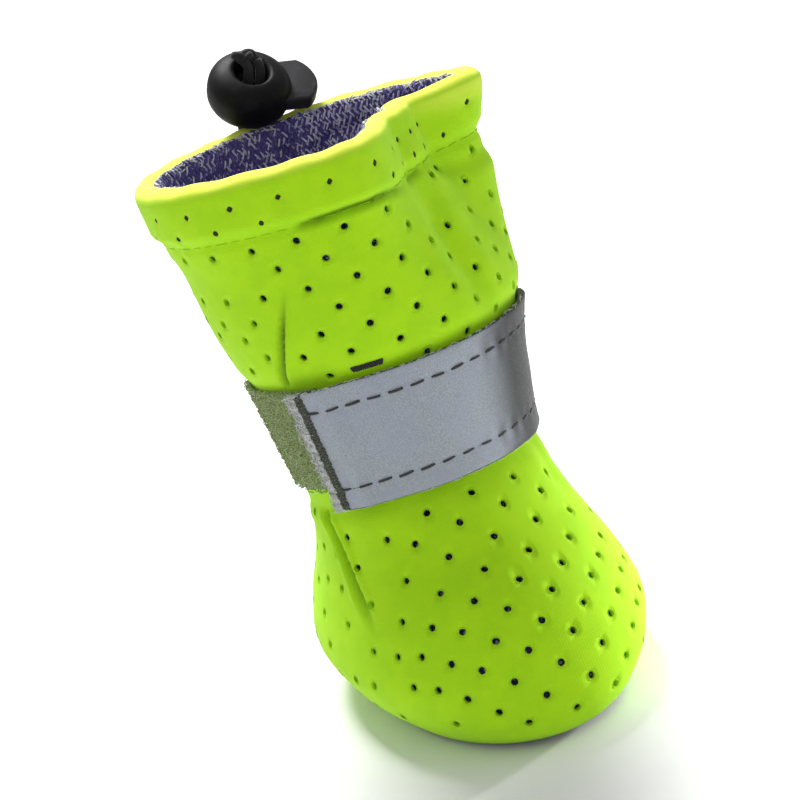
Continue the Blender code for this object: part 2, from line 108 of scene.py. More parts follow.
# rise: share of the ankle's rise. setback, front and back: shares of the foot's length.
# side: share of the foot's width. lean: share of the shaft's lean.
FOOT_ROWS = (
    FootRow(0.000, -0.045, 0.444, 0.439, 0.368, 2.1, 0.0),
    FootRow(0.060, -0.045, 0.476, 0.476, 0.409, 2.1, 0.0),
    FootRow(0.165, -0.045, 0.488, 0.503, 0.470, 2.1, 0.0),
    FootRow(0.315, -0.045, 0.471, 0.506, 0.508, 2.1, 0.0),
    FootRow(0.480, -0.030, 0.450, 0.485, 0.480, 2.1, 0.0),
    FootRow(0.630, 0.000, 0.404, 0.445, 0.436, 2.1, 0.2),
    FootRow(0.765, 0.038, 0.340, 0.398, 0.402, 2.1, 0.5),
    FootRow(0.885, 0.068, 0.308, 0.350, 0.384, 2.05, 0.8),
)

ShaftRow = namedtuple("ShaftRow", "climb flare front back lean")
# climb: share of the shaft's length. flare: share of the way from the ankle's width to the
# collar's. front and back: shares of the half width. lean: share of the way to the rim's lean.
SHAFT_ROWS = (
    ShaftRow(0.000, 0.000, 1.010, 1.050, 0.0),
    ShaftRow(0.185, 0.145, 1.000, 1.030, 0.0),
    ShaftRow(0.366, 0.310, 1.000, 1.000, 0.0),
    ShaftRow(0.500, 0.575, 1.000, 0.980, 0.0),
    ShaftRow(0.665, 0.740, 1.000, 0.960, 0.2),
    ShaftRow(0.820, 0.884, 1.000, 0.940, 0.7),
    ShaftRow(1.000, 1.000, 1.000, 0.920, 1.0),
)

Fold = namedtuple("Fold", "name rises full fades ends low high top gone depth")
# rises, full, fades and ends: degrees of turn. low, high, top and gone: shares of the shaft's
# length. depth: share of the collar's width, inwards.
FOLDS = (
    Fold("dent in front", -14, 34, 64, 94, 0.34, 1.00, 1.20, 1.30, 0.230),
    Fold("ear", 70, 86, 94, 122, 0.82, 0.97, 1.20, 1.30, -0.036),
    Fold("left roll", -150, -100, -80, -40, 0.70, 0.86, 0.92, 1.15, -0.020),
    Fold("right belly", 45, 80, 100, 140, 0.20, 0.46, 0.70, 0.84, -0.034),
)

Crease = namedtuple("Crease", "name points width depth ridge")
# points: (degrees of turn, millimetres up the middle line). width, depth and ridge in millimetres:
# the trough's half width and depth, and the height of the swell on both sides of it.
CREASES = (
    Crease("pinch above the strap", ((-66, 53.2), (-61, 57.2), (-55, 61.4), (-49, 66.0), (-44, 70.0)),
           0.48, 0.95, 0.30),
    Crease("pinch below the strap", ((-81, 35.0), (-76, 28.5), (-69, 23.5), (-60, 19.0)),
           0.75, 1.50, 0.55),
    Crease("soft band above the strap", ((33, 73.0), (31, 65.0), (39, 55.0)), 2.4, 1.00, 0.35),
    Crease("hem fold", ((-30, 79.6), (-14, 80.0), (2, 79.6), (18, 78.4)), 0.55, 0.70, 0.20),
    Crease("hem pucker at the right", ((24, 78.6), (36, 78.9), (44, 79.6)), 0.50, 0.40, 0.10),
    Crease("collar notch", ((60, 78.0), (78, 76.2), (96, 77.0)), 1.1, 0.60, 0.20),
    Crease("hem fold at the right", ((32, 78.0), (38, 75.0), (44, 71.0)), 1.6, 0.30, 0.10),
    Crease("instep gather left", ((-30, 34.0), (-34, 30.0), (-44, 26.0)), 1.8, 0.30, 0.10),
    Crease("instep gather right", ((52, 34.0), (50, 30.0), (44, 25.0)), 1.8, 0.35, 0.10),
    Crease("back gather", ((176, 34.0), (182, 28.0), (178, 22.0)), 1.6, 0.40, 0.15),
    Crease("back slack", ((150, 72.0), (166, 64.0), (160, 57.5)), 2.4, 0.50, 0.15),
    Crease("left slack", ((-120, 74.0), (-112, 66.0), (-120, 58.0)), 2.4, 0.45, 0.15),
    Crease("right ankle gather", ((92, 33.0), (88, 28.0), (96, 23.0)), 1.8, 0.40, 0.15),
)

# The lining's one deep fold, with points like those of a crease
LINING_FOLD = ((138, 88.5), (158, 86.5), (168, 83.5), (166, 79.0), (160, 72.0))

StrandRow = namedtuple("StrandRow", "back rise")
# The cord's way through the lock, in metres from the lock's middle: towards its back, and up.
STRAND_ROWS = (
    StrandRow(-0.0008, -0.0083),
    StrandRow(-0.0001, -0.0060),
    StrandRow(0.0, -0.0030),
    StrandRow(0.0, 0.0),
    StrandRow(0.0002, 0.0020),
    StrandRow(0.0006, 0.0032),
    StrandRow(0.0010, 0.0040),
)
STRAND_OUTER = LOCK_HOLE / 2 - CORD_CLEARANCE - CORD_DIAMETER / 2
STRAND_INNER = STRAND_OUTER - CORD_DIAMETER - CORD_CLEARANCE

Ring = namedtuple("Ring", "station y z front back side square lean")
Spot = namedtuple("Spot", "point out along")

MM = 0.001
SEED = 11
# The foot's girth, and the radii by which angles round the boot become lengths of cloth, in metres
UPPER_GIRTH = 158 * MM
UPPER_RADIUS = 0.024
LINING_RADIUS = 0.023
BAND_RADIUS = 0.0205
PILE_RADIUS = 0.0215
# Degrees of turn: where the ear's painted highlight is centred, where the lining is palest, and from
# where the strap's thread is whitish
EAR_TURN, EAR_SPREAD = 84, 20
PALE_TURN, PALE_SPREAD = 142, 24
WHITISH_FROM = 62


class DogBootFabric(bpy.types.PropertyGroup):
    """The upper's cloth and its lining."""
    thickness: FloatProperty(
        name="Thickness", description="Thickness of the perforated outer cloth",
        default=0.0008, unit="LENGTH")
    cell: FloatProperty(
        name="Mesh step", description="Distance between the mesh's lines on the outer cloth",
        default=0.00068, unit="LENGTH")
    hole: FloatProperty(
        name="Hole", description="Diameter of a perforation", default=0.00125, unit="LENGTH")
    hole_step: FloatProperty(
        name="Hole step", description="Distance between the rows of perforations",
        default=0.0038, unit="LENGTH")
    turn_in: FloatProperty(
        name="Turn-in", description="Width of the outer cloth turned in over the rim",
        default=0.0014, unit="LENGTH")
    lime: FloatVectorProperty(
        name="Lime", description="Colour of the outer cloth", subtype="COLOR",
        default=(0.40, 0.76, 0.004), min=0.0, max=1.0)
    lining: FloatVectorProperty(
        name="Lining", description="Colour of the lining's violet yarn", subtype="COLOR",
        default=(0.080, 0.060, 0.230), min=0.0, max=1.0)
    lining_light: FloatVectorProperty(
        name="Lining, light yarn", description="Colour of the lining's white yarn",
        subtype="COLOR", default=(0.64, 0.62, 0.74), min=0.0, max=1.0)


class DogBootTrim(bpy.types.PropertyGroup):
    """The strap, the loop tape, the cord and its lock."""
    stitch: FloatProperty(
        name="Stitch", description="Length of a stitch on the strap", default=0.0021,
        unit="LENGTH")
    stitch_step: FloatProperty(
        name="Stitch step", description="Distance from stitch to stitch on the strap",
        default=0.0034, unit="LENGTH")
    stitch_inset: FloatProperty(
        name="Stitch inset", description="Distance of the stitch rows from the strap's edges",
        default=0.0034, unit="LENGTH")
    pile: FloatProperty(
        name="Pile", description="Height of the loop tape's loops", default=0.0011,
        unit="LENGTH")
    pile_step: FloatProperty(
        name="Pile step", description="Distance between the loop tape's loops",
        default=0.00072, unit="LENGTH")
    silver: FloatVectorProperty(
        name="Silver", description="Colour of the reflective tape", subtype="COLOR",
        default=(0.335, 0.37, 0.418), min=0.0, max=1.0)
    loops: FloatVectorProperty(
        name="Loops", description="Colour of the loop tape", subtype="COLOR",
        default=(0.26, 0.34, 0.11), min=0.0, max=1.0)
    thread: FloatVectorProperty(
        name="Thread", description="Colour of the dark thread", subtype="COLOR",
        default=(0.030, 0.034, 0.036), min=0.0, max=1.0)
    black: FloatVectorProperty(
        name="Black", description="Colour of the moulded plastic and the elastic",
        subtype="COLOR", default=(0.010, 0.010, 0.011), min=0.0, max=1.0)
    dots: FloatProperty(
        name="Grip dots", description="Distance between the dots under the sole",
        default=0.0026, unit="LENGTH")


class DogBootStage(bpy.types.PropertyGroup):
    """The camera, the floor and the lights."""
    yaw: FloatProperty(
        name="Yaw", description="Turn of the view, from the toe's right towards the front",
        default=math.radians(18), subtype="ANGLE")
    elevation: FloatProperty(
        name="Elevation", description="How far down the view looks",
        default=math.radians(22.5), subtype="ANGLE")
    roll: FloatProperty(
        name="Roll", description="Roll of the camera, as the boot leans in the photo",
        default=math.radians(15.3), subtype="ANGLE")
    distance: FloatProperty(
        name="Distance", description="Distance from the camera to the boot's middle",
        default=0.450, unit="LENGTH")
    frame_width: FloatProperty(
        name="Frame width", description="Width of the view at the boot's middle",
        default=0.125, unit="LENGTH")
    key: FloatProperty(name="Key light", description="Power of the key light, watts", default=6.0)
    side: FloatProperty(
        name="Side light", description="Power of the low light at the toe's side, watts", default=5.6)
    fill: FloatProperty(name="Fill light", description="Power of the fill light, watts", default=0.26)
    sky: FloatProperty(name="Sky", description="Strength of the even light", default=0.52)
    floor: FloatVectorProperty(
        name="Floor", description="Colour of the floor", subtype="COLOR",
        default=(0.86, 0.86, 0.86), min=0.0, max=1.0)
    seed: IntProperty(name="Seed", description="Seed of the small irregularities", default=SEED)


def smooth(value):
    """An even step from 0 to 1."""
    value = min(1.0, max(0.0, value))
    return value * value * (3.0 - 2.0 * value)


def steady(stations, values, at):
    """A smooth reading between the values that never overshoots them."""
    at = min(stations[-1], max(stations[0], at))
    last = len(stations) - 2
    k = next((i for i in range(last + 1) if at <= stations[i + 1]), last)

    def rise(i):
        return (values[i + 1] - values[i]) / (stations[i + 1] - stations[i])

    def slope(i):
        if i == 0 or i == last + 1:
            return rise(min(i, last))
        before, after = rise(i - 1), rise(i)
        return 0.0 if before * after <= 0.0 else 2.0 * before * after / (before + after)

    span = stations[k + 1] - stations[k]
    t = (at - stations[k]) / span
    return (
        values[k] * (1 + 2 * t) * (1 - t) ** 2
        + slope(k) * span * t * (1 - t) ** 2
        + values[k + 1] * t * t * (3 - 2 * t)
        - slope(k + 1) * span * t * t * (1 - t)
    )


def last_rings():
    """The rows of both tables as rings in metres."""
    rings = []
    for row in FOOT_ROWS:
        station = EDGE_RISE + row.rise * (ANKLE_RISE - EDGE_RISE)
        rings.append(Ring(
            station, row.setback * FOOT_LENGTH, station, row.front * FOOT_LENGTH,
            row.back * FOOT_LENGTH, row.side * FOOT_WIDTH, row.square, row.lean * SHAFT_LEAN,
        ))
    for row in SHAFT_ROWS:
        up = row.climb * SHAFT_LENGTH
        side = (ANKLE_WIDTH + row.flare * (COLLAR_WIDTH - ANKLE_WIDTH)) / 2
        rings.append(Ring(
            ANKLE_RISE + up, ANKLE_SETBACK + up * math.sin(SHAFT_LEAN),
            ANKLE_RISE + up * math.cos(SHAFT_LEAN), row.front * side, row.back * side, side,
            2.0, SHAFT_LEAN + row.lean * (RIM_LEAN - SHAFT_LEAN),
        ))
    return rings


RINGS = last_rings()
STATIONS = [ring.station for ring in RINGS]
RIM_STATION = STATIONS[-1]
HEM_STATION = RIM_STATION - HEM_HEIGHT
CAP_STATION = RIM_STATION - HEM_WALL / 2
LINING_TOP = CAP_STATION + HEM_WALL / 2 * math.radians(40)
YARN_DEPTH = 23 * MM
TACK_STATION = STRAP_STATION + STRAP_WIDTH / 2 + 1.5 * MM
TACK_FROM, TACK_TO = -31, -19


@lru_cache(maxsize=None)
def ring_at(station):
    """The last's ring at any station."""
    return Ring(station, *(steady(STATIONS, [ring[c] for ring in RINGS], station) for c in range(1, 8)))


def fold_depth(turn, station):
    """How far the main folds push the wall in at one place."""
    climb = (station - ANKLE_RISE) / SHAFT_LENGTH
    if climb < 0.15:
        return 0.0
    degrees = (math.degrees(turn) + 180.0) % 360.0 - 180.0
    depth = 0.0
    for fold in FOLDS:
        if not fold.rises < degrees < fold.ends:
            continue
        into = smooth((degrees - fold.rises) / (fold.full - fold.rises))
        out = 1.0 - smooth((degrees - fold.fades) / (fold.ends - fold.fades))
        up = smooth((climb - fold.low) / (fold.high - fold.low))
        down = 1.0 - smooth((climb - fold.top) / (fold.gone - fold.top))
        depth += fold.depth * COLLAR_WIDTH * into * out * up * down
    return depth


def reach(turn, station):
    """The outside of the plain wall, from the middle line."""
    ring = ring_at(station)
    along = ring.front if math.cos(turn) > 0 else ring.back
    power = ring.square
    spread = (abs(math.cos(turn)) / along) ** power + (abs(math.sin(turn)) / ring.side) ** power
    return spread ** (-1.0 / power) - fold_depth(turn, station)


def hem_swell(station):
    """The hem's step: a dip at the stitch line, then the casing's bulge."""
    over = (station - HEM_STATION) / HEM_RISE
    dip = STITCH_DIP * max(0.0, 1.0 - abs(over) * 2.0)
    return HEM_BULGE * smooth(over) - dip


def outside(turn, station):
    """The outside of the upper with its hem, from the middle line."""
    return reach(turn, station) + hem_swell(station)


def slant(turn, station):
    """How much longer a cut across the slanting wall is than a square one."""
    step_turn, step_up = math.radians(2.0), 0.0006
    middle = reach(turn, station)
    around = (reach(turn + step_turn, station) - reach(turn - step_turn, station)) / (2 * step_turn)
    low, high = max(EDGE_RISE, station - step_up), min(RIM_STATION, station + step_up)
    drift = (ring_at(high).y - ring_at(low).y) * math.cos(turn)
    up = (reach(turn, high) - reach(turn, low) - drift) / (high - low)
    return math.sqrt(1.0 + (around / middle) ** 2 + up ** 2)


def inside(turn, station):
    """The inside of the upper, from the middle line, never in over the sole's edge."""
    wall = WALL + (HEM_WALL - HEM_BULGE - WALL) * smooth((station - HEM_STATION) / HEM_RISE)
    inner = reach(turn, station) - wall * slant(turn, station)
    return max(inner, reach(turn, EDGE_RISE)) if station < ANKLE_RISE / 4 else inner


def toe_lift(y, z):
    """The toe spring, which fades towards the top of the toe."""
    start = -0.22 * FOOT_LENGTH
    ahead = (start - y) / (FOOT_LENGTH / 2 + start)
    return TOE_SPRING * smooth(ahead) * (1.0 - smooth(z / (ANKLE_RISE / 2)))


def place(turn, station, radius, lift=0.0):
    """The point at a radius from the middle line, lifted along it."""
    ring = ring_at(station)
    forward = Vector((0.0, -math.cos(ring.lean), math.sin(ring.lean)))
    up = Vector((0.0, math.sin(ring.lean), math.cos(ring.lean)))
    point = Vector((0.0, ring.y, ring.z)) + up * lift
    point += (Vector((1.0, 0.0, 0.0)) * math.sin(turn) + forward * math.cos(turn)) * radius
    point.z += toe_lift(point.y, point.z)
    return point


def from_line(turn, station, points):
    """Distance in mm to a crease's line, how far along it, and the way to it in mm."""
    scale = math.radians(1.0) * reach(turn, station) / MM
    best, along, way = 1e9, 0.0, (0.0, 0.0)
    count = len(points) - 1
    degrees, up = math.degrees(turn), station / MM
    for k in range(count):
        ax, ay = (points[k][0] - degrees + 180.0) % 360.0 - 180.0, points[k][1] - up
        bx, by = ax + points[k + 1][0] - points[k][0], points[k + 1][1] - up
        ax, bx = ax * scale, bx * scale
        dx, dy = bx - ax, by - ay
        t = min(1.0, max(0.0, -(ax * dx + ay * dy) / (dx * dx + dy * dy)))
        distance = math.hypot(ax + dx * t, ay + dy * t)
        if distance < best:
            best, along, way = distance, (k + t) / count, (ax + dx * t, ay + dy * t)
    return best, along, way


def beside_strap(station):
    """0 under the strap, where the cloth is held flat, and 1 clear of it."""
    away = abs(station - STRAP_STATION) - STRAP_WIDTH / 2
    return smooth((away - 0.2 * MM) / (1.8 * MM))


def near_creases(turn, station):
    """The creases whose swell reaches a place, each with its distance, share and way."""
    found = []
    for crease in CREASES:
        heights = [p[1] for p in crease.points]
        room = crease.width * 5.0
        if min(heights) - room < station / MM < max(heights) + room:
            distance, along, way = from_line(turn, station, crease.points)
            if distance < room:
                ends = min(1.0, 2.6 * (1.0 - along) + 0.04, 4.0 * along + 0.55)
                found.append((crease, distance, ends, way))
    return found


def crease_shade(turn, station):
    """How deep in a sharp crease a place lies, from 0 to 1, for the painted shade in the cloth's colour.
    """
    shade = 0.0
    for crease, distance, ends, way in near_creases(turn, station):
        if crease.width < 1.0:
            deep = math.exp(-(distance / (crease.width * 0.9)) ** 2)
            shade = max(shade, deep * ends * min(1.0, crease.depth / 0.8))
    return shade * beside_strap(station)


def pulled(turn, station, cell):
    """A mesh point moved onto a sharp crease's line when that is close."""
    for crease, distance, ends, way in near_creases(turn, station):
        if crease.width < 1.0 and distance < cell / MM * 0.5:
            scale = math.radians(1.0) * reach(turn, station) / MM
            return turn + math.radians(way[0] / scale), station + way[1] * MM
    return turn, station


def relief(turn, station):
    """The small creases, puckers and slackness of the cloth, in metres."""
    lift = 0.0
    for crease, distance, ends, way in near_creases(turn, station):
        across = distance / crease.width
        trough = -crease.depth * math.exp(-across * across)
        swell = crease.ridge * math.exp(-(across - 2.1) ** 2)
        lift += (trough + swell) * ends * MM
    near_hem = math.exp(-((station - HEM_STATION) / (2.6 * MM)) ** 2)
    lift += 0.10 * MM * near_hem * math.sin(turn * 31.0 + 2.0 * math.sin(turn * 5.0))
    slack = math.sin(turn * 3.0 + station * 90.0) * math.sin(turn * 2.0 - station * 140.0 + 1.0)
    calm = smooth((station - 4.0 * MM) / (9.0 * MM))
    lift += 0.22 * MM * slack * calm
    over = (station - STRAP_STATION - STRAP_WIDTH / 2) / MM
    under = (STRAP_STATION - STRAP_WIDTH / 2 - station) / MM
    if over > 0.0:
        lift += 0.45 * MM * math.exp(-((over - 3.0) / 2.2) ** 2)
    if under > 0.0:
        lift += 0.30 * MM * math.exp(-((under - 2.4) / 1.8) ** 2)
    return lift * beside_strap(station)


def skin(turn, station):
    """A point of the outer cloth."""
    return place(turn, station, outside(turn, station) + relief(turn, station))


def skin_frame(turn, station):
    """The outer cloth's two directions and outward normal, with metres for each unit."""
    step_turn, step_up = 0.01, 0.0002
    around = (skin(turn + step_turn, station) - skin(turn - step_turn, station)) / (2 * step_turn)
    up = (skin(turn, station + step_up) - skin(turn, station - step_up)) / (2 * step_up)
    return around, up, around.cross(up).normalized()


def skin_spot(turn, station, height):
    """A spot at a height over the outer cloth, pointing round the boot."""
    around, up, out = skin_frame(turn, station)
    return Spot(skin(turn, station) + out * height, out, around.normalized())


def keep(name, body, replaced=()):
    """Parents a finished piece to its body's empty, and hides the imported parts it replaces."""
    piece = bpy.data.objects[name]
    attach(piece, body)
    if replaced:
        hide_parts(*replaced)
    return piece


def mesh_piece(name, points, faces, material, uvs=None, painted_shade_and_highlight=None):
    """A piece from points and faces, shaded smooth, with metres as its UV.

    Each point carries a number, which its material reads as "fold": up to 1 for painted shade in
    a crease or a hem dimple, and down to -1 for paler, yellower cloth over the rim and the ear.
    """
    mesh = bpy.data.meshes.new(name)
    mesh.from_pydata([tuple(p) for p in points], [], faces)
    if uvs is not None:
        layer = mesh.uv_layers.new(name="cloth")
        for loop in mesh.loops:
            layer.data[loop.index].uv = uvs[loop.vertex_index]
    if painted_shade_and_highlight is not None:
        layer = mesh.attributes.new("fold", "FLOAT", "POINT")
        layer.data.foreach_set("value", painted_shade_and_highlight)
    mesh.materials.append(material)
    mesh.shade_smooth()
    made = bpy.data.objects.new(name, mesh)
    bpy.context.scene.collection.objects.link(made)
    return made


def turn_outwards(piece):
    """The piece with its doubles merged and its faces pointing outwards."""
    shape = bmesh.new()
    shape.from_mesh(piece.data)
    bmesh.ops.remove_doubles(shape, verts=shape.verts[:], dist=1e-7)
    bmesh.ops.recalc_face_normals(shape, faces=shape.faces[:])
    shape.to_mesh(piece.data)
    shape.free()
    return piece


def applied(piece):
    """The piece with its modifiers turned into plain mesh."""
    graph = bpy.context.evaluated_depsgraph_get()
    mesh = bpy.data.meshes.new_from_object(piece.evaluated_get(graph))
    piece.modifiers.clear()
    old = piece.data
    piece.data = mesh
    bpy.data.meshes.remove(old)
    mesh.name = piece.name
    return piece


def thicken(piece, thickness, offset=-1.0):
    """Gives a sheet its thickness."""
    wall = piece.modifiers.new("thickness", "SOLIDIFY")
    wall.thickness = thickness
    wall.offset = offset
    wall.use_even_offset = False
    wall.use_rim = True
    return applied(piece)


def tube_faces(rows, columns, ends="open"):
    """The quads of a tube of rows of points; its ends are open, capped, or joined in a ring."""
    faces = []
    for i in range(rows if ends == "joined" else rows - 1):
        a, b = i * columns, (i + 1) % rows * columns
        faces += [(a + j, a + (j + 1) % columns, b + (j + 1) % columns, b + j) for j in range(columns)]
    if ends == "capped":
        faces.append(tuple(range(columns))[::-1])
        faces.append(tuple((rows - 1) * columns + j for j in range(columns)))
    return faces


class Nodes:
    """A short way to write a node tree."""

    def __init__(self, tree):
        self.tree = tree

    def add(self, kind, settings=None, **inputs):
        """A node with its settings, and its inputs by name: a value, or another node's socket."""
        node = self.tree.nodes.new(kind)
        for name, value in (settings or {}).items():
            setattr(node, name, value)
        for name, value in inputs.items():
            key = name.replace("_", " ")
            self.feed(next(s for s in node.inputs if s.name == key and s.enabled), value)
        return node

    def feed(self, socket, value):
        """Gives an input another node's socket, or a value of its own."""
        if isinstance(value, bpy.types.NodeSocket):
            self.tree.links.new(value, socket)
        else:
            socket.default_value = value

    def math(self, operation, first, second=0.5):
        """A Math node's result."""
        node = self.add("ShaderNodeMath", {"operation": operation})
        self.feed(node.inputs[0], first)
        self.feed(node.inputs[1], second)
        return node.outputs[0]

    def times(self, first, second):
        """The product of two values."""
        return self.math("MULTIPLY", first, second)

    def plus(self, first, second):
        """The sum of two values."""
        return self.math("ADD", first, second)

    def mix(self, share, first, second):
        """A mix of two colours, each a socket or three numbers."""
        node = self.add("ShaderNodeMix", {"data_type": "RGBA"})
        self.feed(node.inputs[0], share)
        for socket, value in ((node.inputs[6], first), (node.inputs[7], second)):
            self.feed(socket, value if isinstance(value, bpy.types.NodeSocket) else (*value, 1.0))
        return node.outputs[2]

    def ramp(self, value, low, high):
        """A smooth step of a value between two levels."""
        settings = {"interpolation_type": "SMOOTHSTEP"}
        return self.add("ShaderNodeMapRange", settings, Value=value, From_Min=low,
                        From_Max=high).outputs["Result"]

    def noise(self, place_at, scale, detail):
        """A noise's value, from 0 to 1."""
        return self.add("ShaderNodeTexNoise", Vector=place_at, Scale=scale, Detail=detail).outputs["Fac"]

    def place(self):
        """The place on the piece, in metres."""
        return self.add("ShaderNodeTexCoord").outputs["Object"]

    def cloth(self):
        """The UV along the cloth, in metres."""
        return self.add("ShaderNodeUVMap", {"uv_map": "cloth"}).outputs["UV"]


def shader_group(name, inputs, outputs, fill):
    """A shader node group that is built once; fill(nodes, given, taken) makes its inside."""
    if name in bpy.data.node_groups:
        return bpy.data.node_groups[name]
    tree = bpy.data.node_groups.new(name, "ShaderNodeTree")
    for label, kind, value in inputs:
        socket = tree.interface.new_socket(name=label, in_out="INPUT", socket_type=kind)
        if value is not None:
            socket.default_value = value
    for label, kind in outputs:
        tree.interface.new_socket(name=label, in_out="OUTPUT", socket_type=kind)
    given = tree.nodes.new("NodeGroupInput")
    taken = tree.nodes.new("NodeGroupOutput")
    fill(Nodes(tree), given.outputs, taken.inputs)
    return tree


def fibre_grain():
    """Fine fibres: a height and a slow mottle, from a place in metres."""
    def fill(nodes, given, taken):
        nodes.feed(taken["Height"], nodes.noise(given["Place"], given["Scale"], 3.0))
        nodes.feed(taken["Mottle"], nodes.noise(given["Place"], 220.0, 2.0))
    return shader_group(
        "Fibre grain",
        (("Place", "NodeSocketVector", None), ("Scale", "NodeSocketFloat", 4000.0)),
        (("Height", "NodeSocketFloat"), ("Mottle", "NodeSocketFloat")),
        fill,
    )


def woven_ribs():
    """Crossed threads on a UV in metres: a height from 0 to 1."""
    def fill(nodes, given, taken):
        apart = nodes.add("ShaderNodeSeparateXYZ", Vector=given["Cloth"])
        waves = []
        for axis in ("X", "Y"):
            phase = nodes.times(apart.outputs[axis], given["Threads"])
            waves.append(nodes.math("ABSOLUTE", nodes.math("SINE", phase)))
        nodes.feed(taken["Height"], nodes.times(waves[0], waves[1]))
    return shader_group(
        "Woven ribs",
        (("Cloth", "NodeSocketVector", None), ("Threads", "NodeSocketFloat", 6000.0)),
        (("Height", "NodeSocketFloat"),),
        fill,
    )


def tinted(colour, *shares):
    """A colour times one share, or times a share for each of its parts."""
    shares = shares * 3 if len(shares) == 1 else shares
    return tuple(min(1.0, c * s) for c, s in zip(colour, shares))


def new_material(name, colour, roughness, sheen=0.0):
    """A material with its shader, and a node writer for it."""
    material = bpy.data.materials.new(name)
    material.use_nodes = True
    shader = material.node_tree.nodes["Principled BSDF"]
    shader.inputs["Base Color"].default_value = (*colour, 1.0)
    shader.inputs["Roughness"].default_value = roughness
    shader.inputs["Sheen Weight"].default_value = sheen
    return material, shader, Nodes(material.node_tree)


def bump(nodes, shader, height, strength, distance):
    """A height that roughens the surface."""
    node = nodes.add("ShaderNodeBump", Strength=strength, Distance=distance, Height=height)
    nodes.feed(shader.inputs["Normal"], node.outputs["Normal"])


def group_node(nodes, tree, **inputs):
    """A shader group placed in a material."""
    return nodes.add("ShaderNodeGroup", {"node_tree": tree}, **inputs)


def lime_cloth(colour, name="lime stretch cloth"):
    """Smooth stretch cloth: a fine fibre, a faint mottle, a soft sheen, and painted shade and highlight
    from the "fold" attribute.
    """
    material, shader, nodes = new_material(name, colour, 0.82, 0.04)
    shader.inputs["Specular IOR Level"].default_value = 0.25
    grain = group_node(nodes, fibre_grain(), Place=nodes.place(), Scale=3600.0)
    knit = group_node(nodes, woven_ribs(), Cloth=nodes.cloth(), Threads=9000.0)
    deep = tinted(colour, 0.95, 0.97, 0.95)
    pale = tinted(colour, 1.04, 1.02, 1.1)
    tone = nodes.mix(nodes.ramp(grain.outputs["Mottle"], 0.35, 0.65), deep, pale)
    # Painted shade: darker where the "fold" attribute is above 0, in sharp creases and hem dimples.
    fold = nodes.add("ShaderNodeAttribute", {"attribute_name": "fold"}).outputs["Fac"]
    shadow = tinted(colour, 0.24, 0.27, 0.5)
    tone = nodes.mix(nodes.times(fold, 0.92), tone, shadow)
    # Painted highlight, with a little of the cloth's own yellower tone: paler, yellower lime where "fold"
    # is below 0, on the rim's upward-facing roll and the ear.
    painted_highlight = (min(1.0, colour[0] * 2.15), min(1.0, colour[1] * 1.30), 0.110)
    tone = nodes.mix(nodes.ramp(fold, -0.05, -1.0), tone, painted_highlight)
    nodes.feed(shader.inputs["Base Color"], tone)
    height = nodes.plus(nodes.times(grain.outputs["Height"], 0.6), knit.outputs["Height"])
    bump(nodes, shader, height, 0.22, 0.00008)
    return material


def knit_lining(dark, light):
    """Two-yarn knit: violet columns with white dashes."""
    material, shader, nodes = new_material("violet knit lining", dark, 0.9, 0.25)
    cloth = nodes.cloth()
    apart = nodes.add("ShaderNodeSeparateXYZ", Vector=cloth)
    column = nodes.times(apart.outputs["X"], 5400.0)
    row = nodes.times(apart.outputs["Y"], 4200.0)
    lean = nodes.plus(row, nodes.times(nodes.math("SINE", column), 1.6))
    loops = nodes.times(nodes.math("SINE", lean), 0.5)
    cords = nodes.math("ABSOLUTE", nodes.math("COSINE", nodes.times(column, 0.5)))
    height = nodes.plus(loops, cords)
    speck = nodes.noise(cloth, 900.0, 1.0)
    lit = nodes.times(nodes.ramp(loops, 0.15, 0.45), nodes.ramp(speck, 0.46, 0.56))
    tone = nodes.mix(lit, dark, light)
    nodes.feed(shader.inputs["Base Color"], tone)
    bump(nodes, shader, height, 0.7, 0.00025)
    return material


def yarn(name, dark, light, share):
    """Yarn of two colours mixed from place to place."""
    material, shader, nodes = new_material(name, dark, 0.85, 0.3)
    place_in = nodes.place()
    patch = nodes.noise(place_in, 1500.0, 1.0)
    tone = nodes.mix(nodes.ramp(patch, 1.0 - share - 0.08, 1.0 - share + 0.08), dark, light)
    nodes.feed(shader.inputs["Base Color"], tone)
    bump(nodes, shader, nodes.noise(place_in, 9000.0, 1.0), 0.3, 0.00004)
    return material


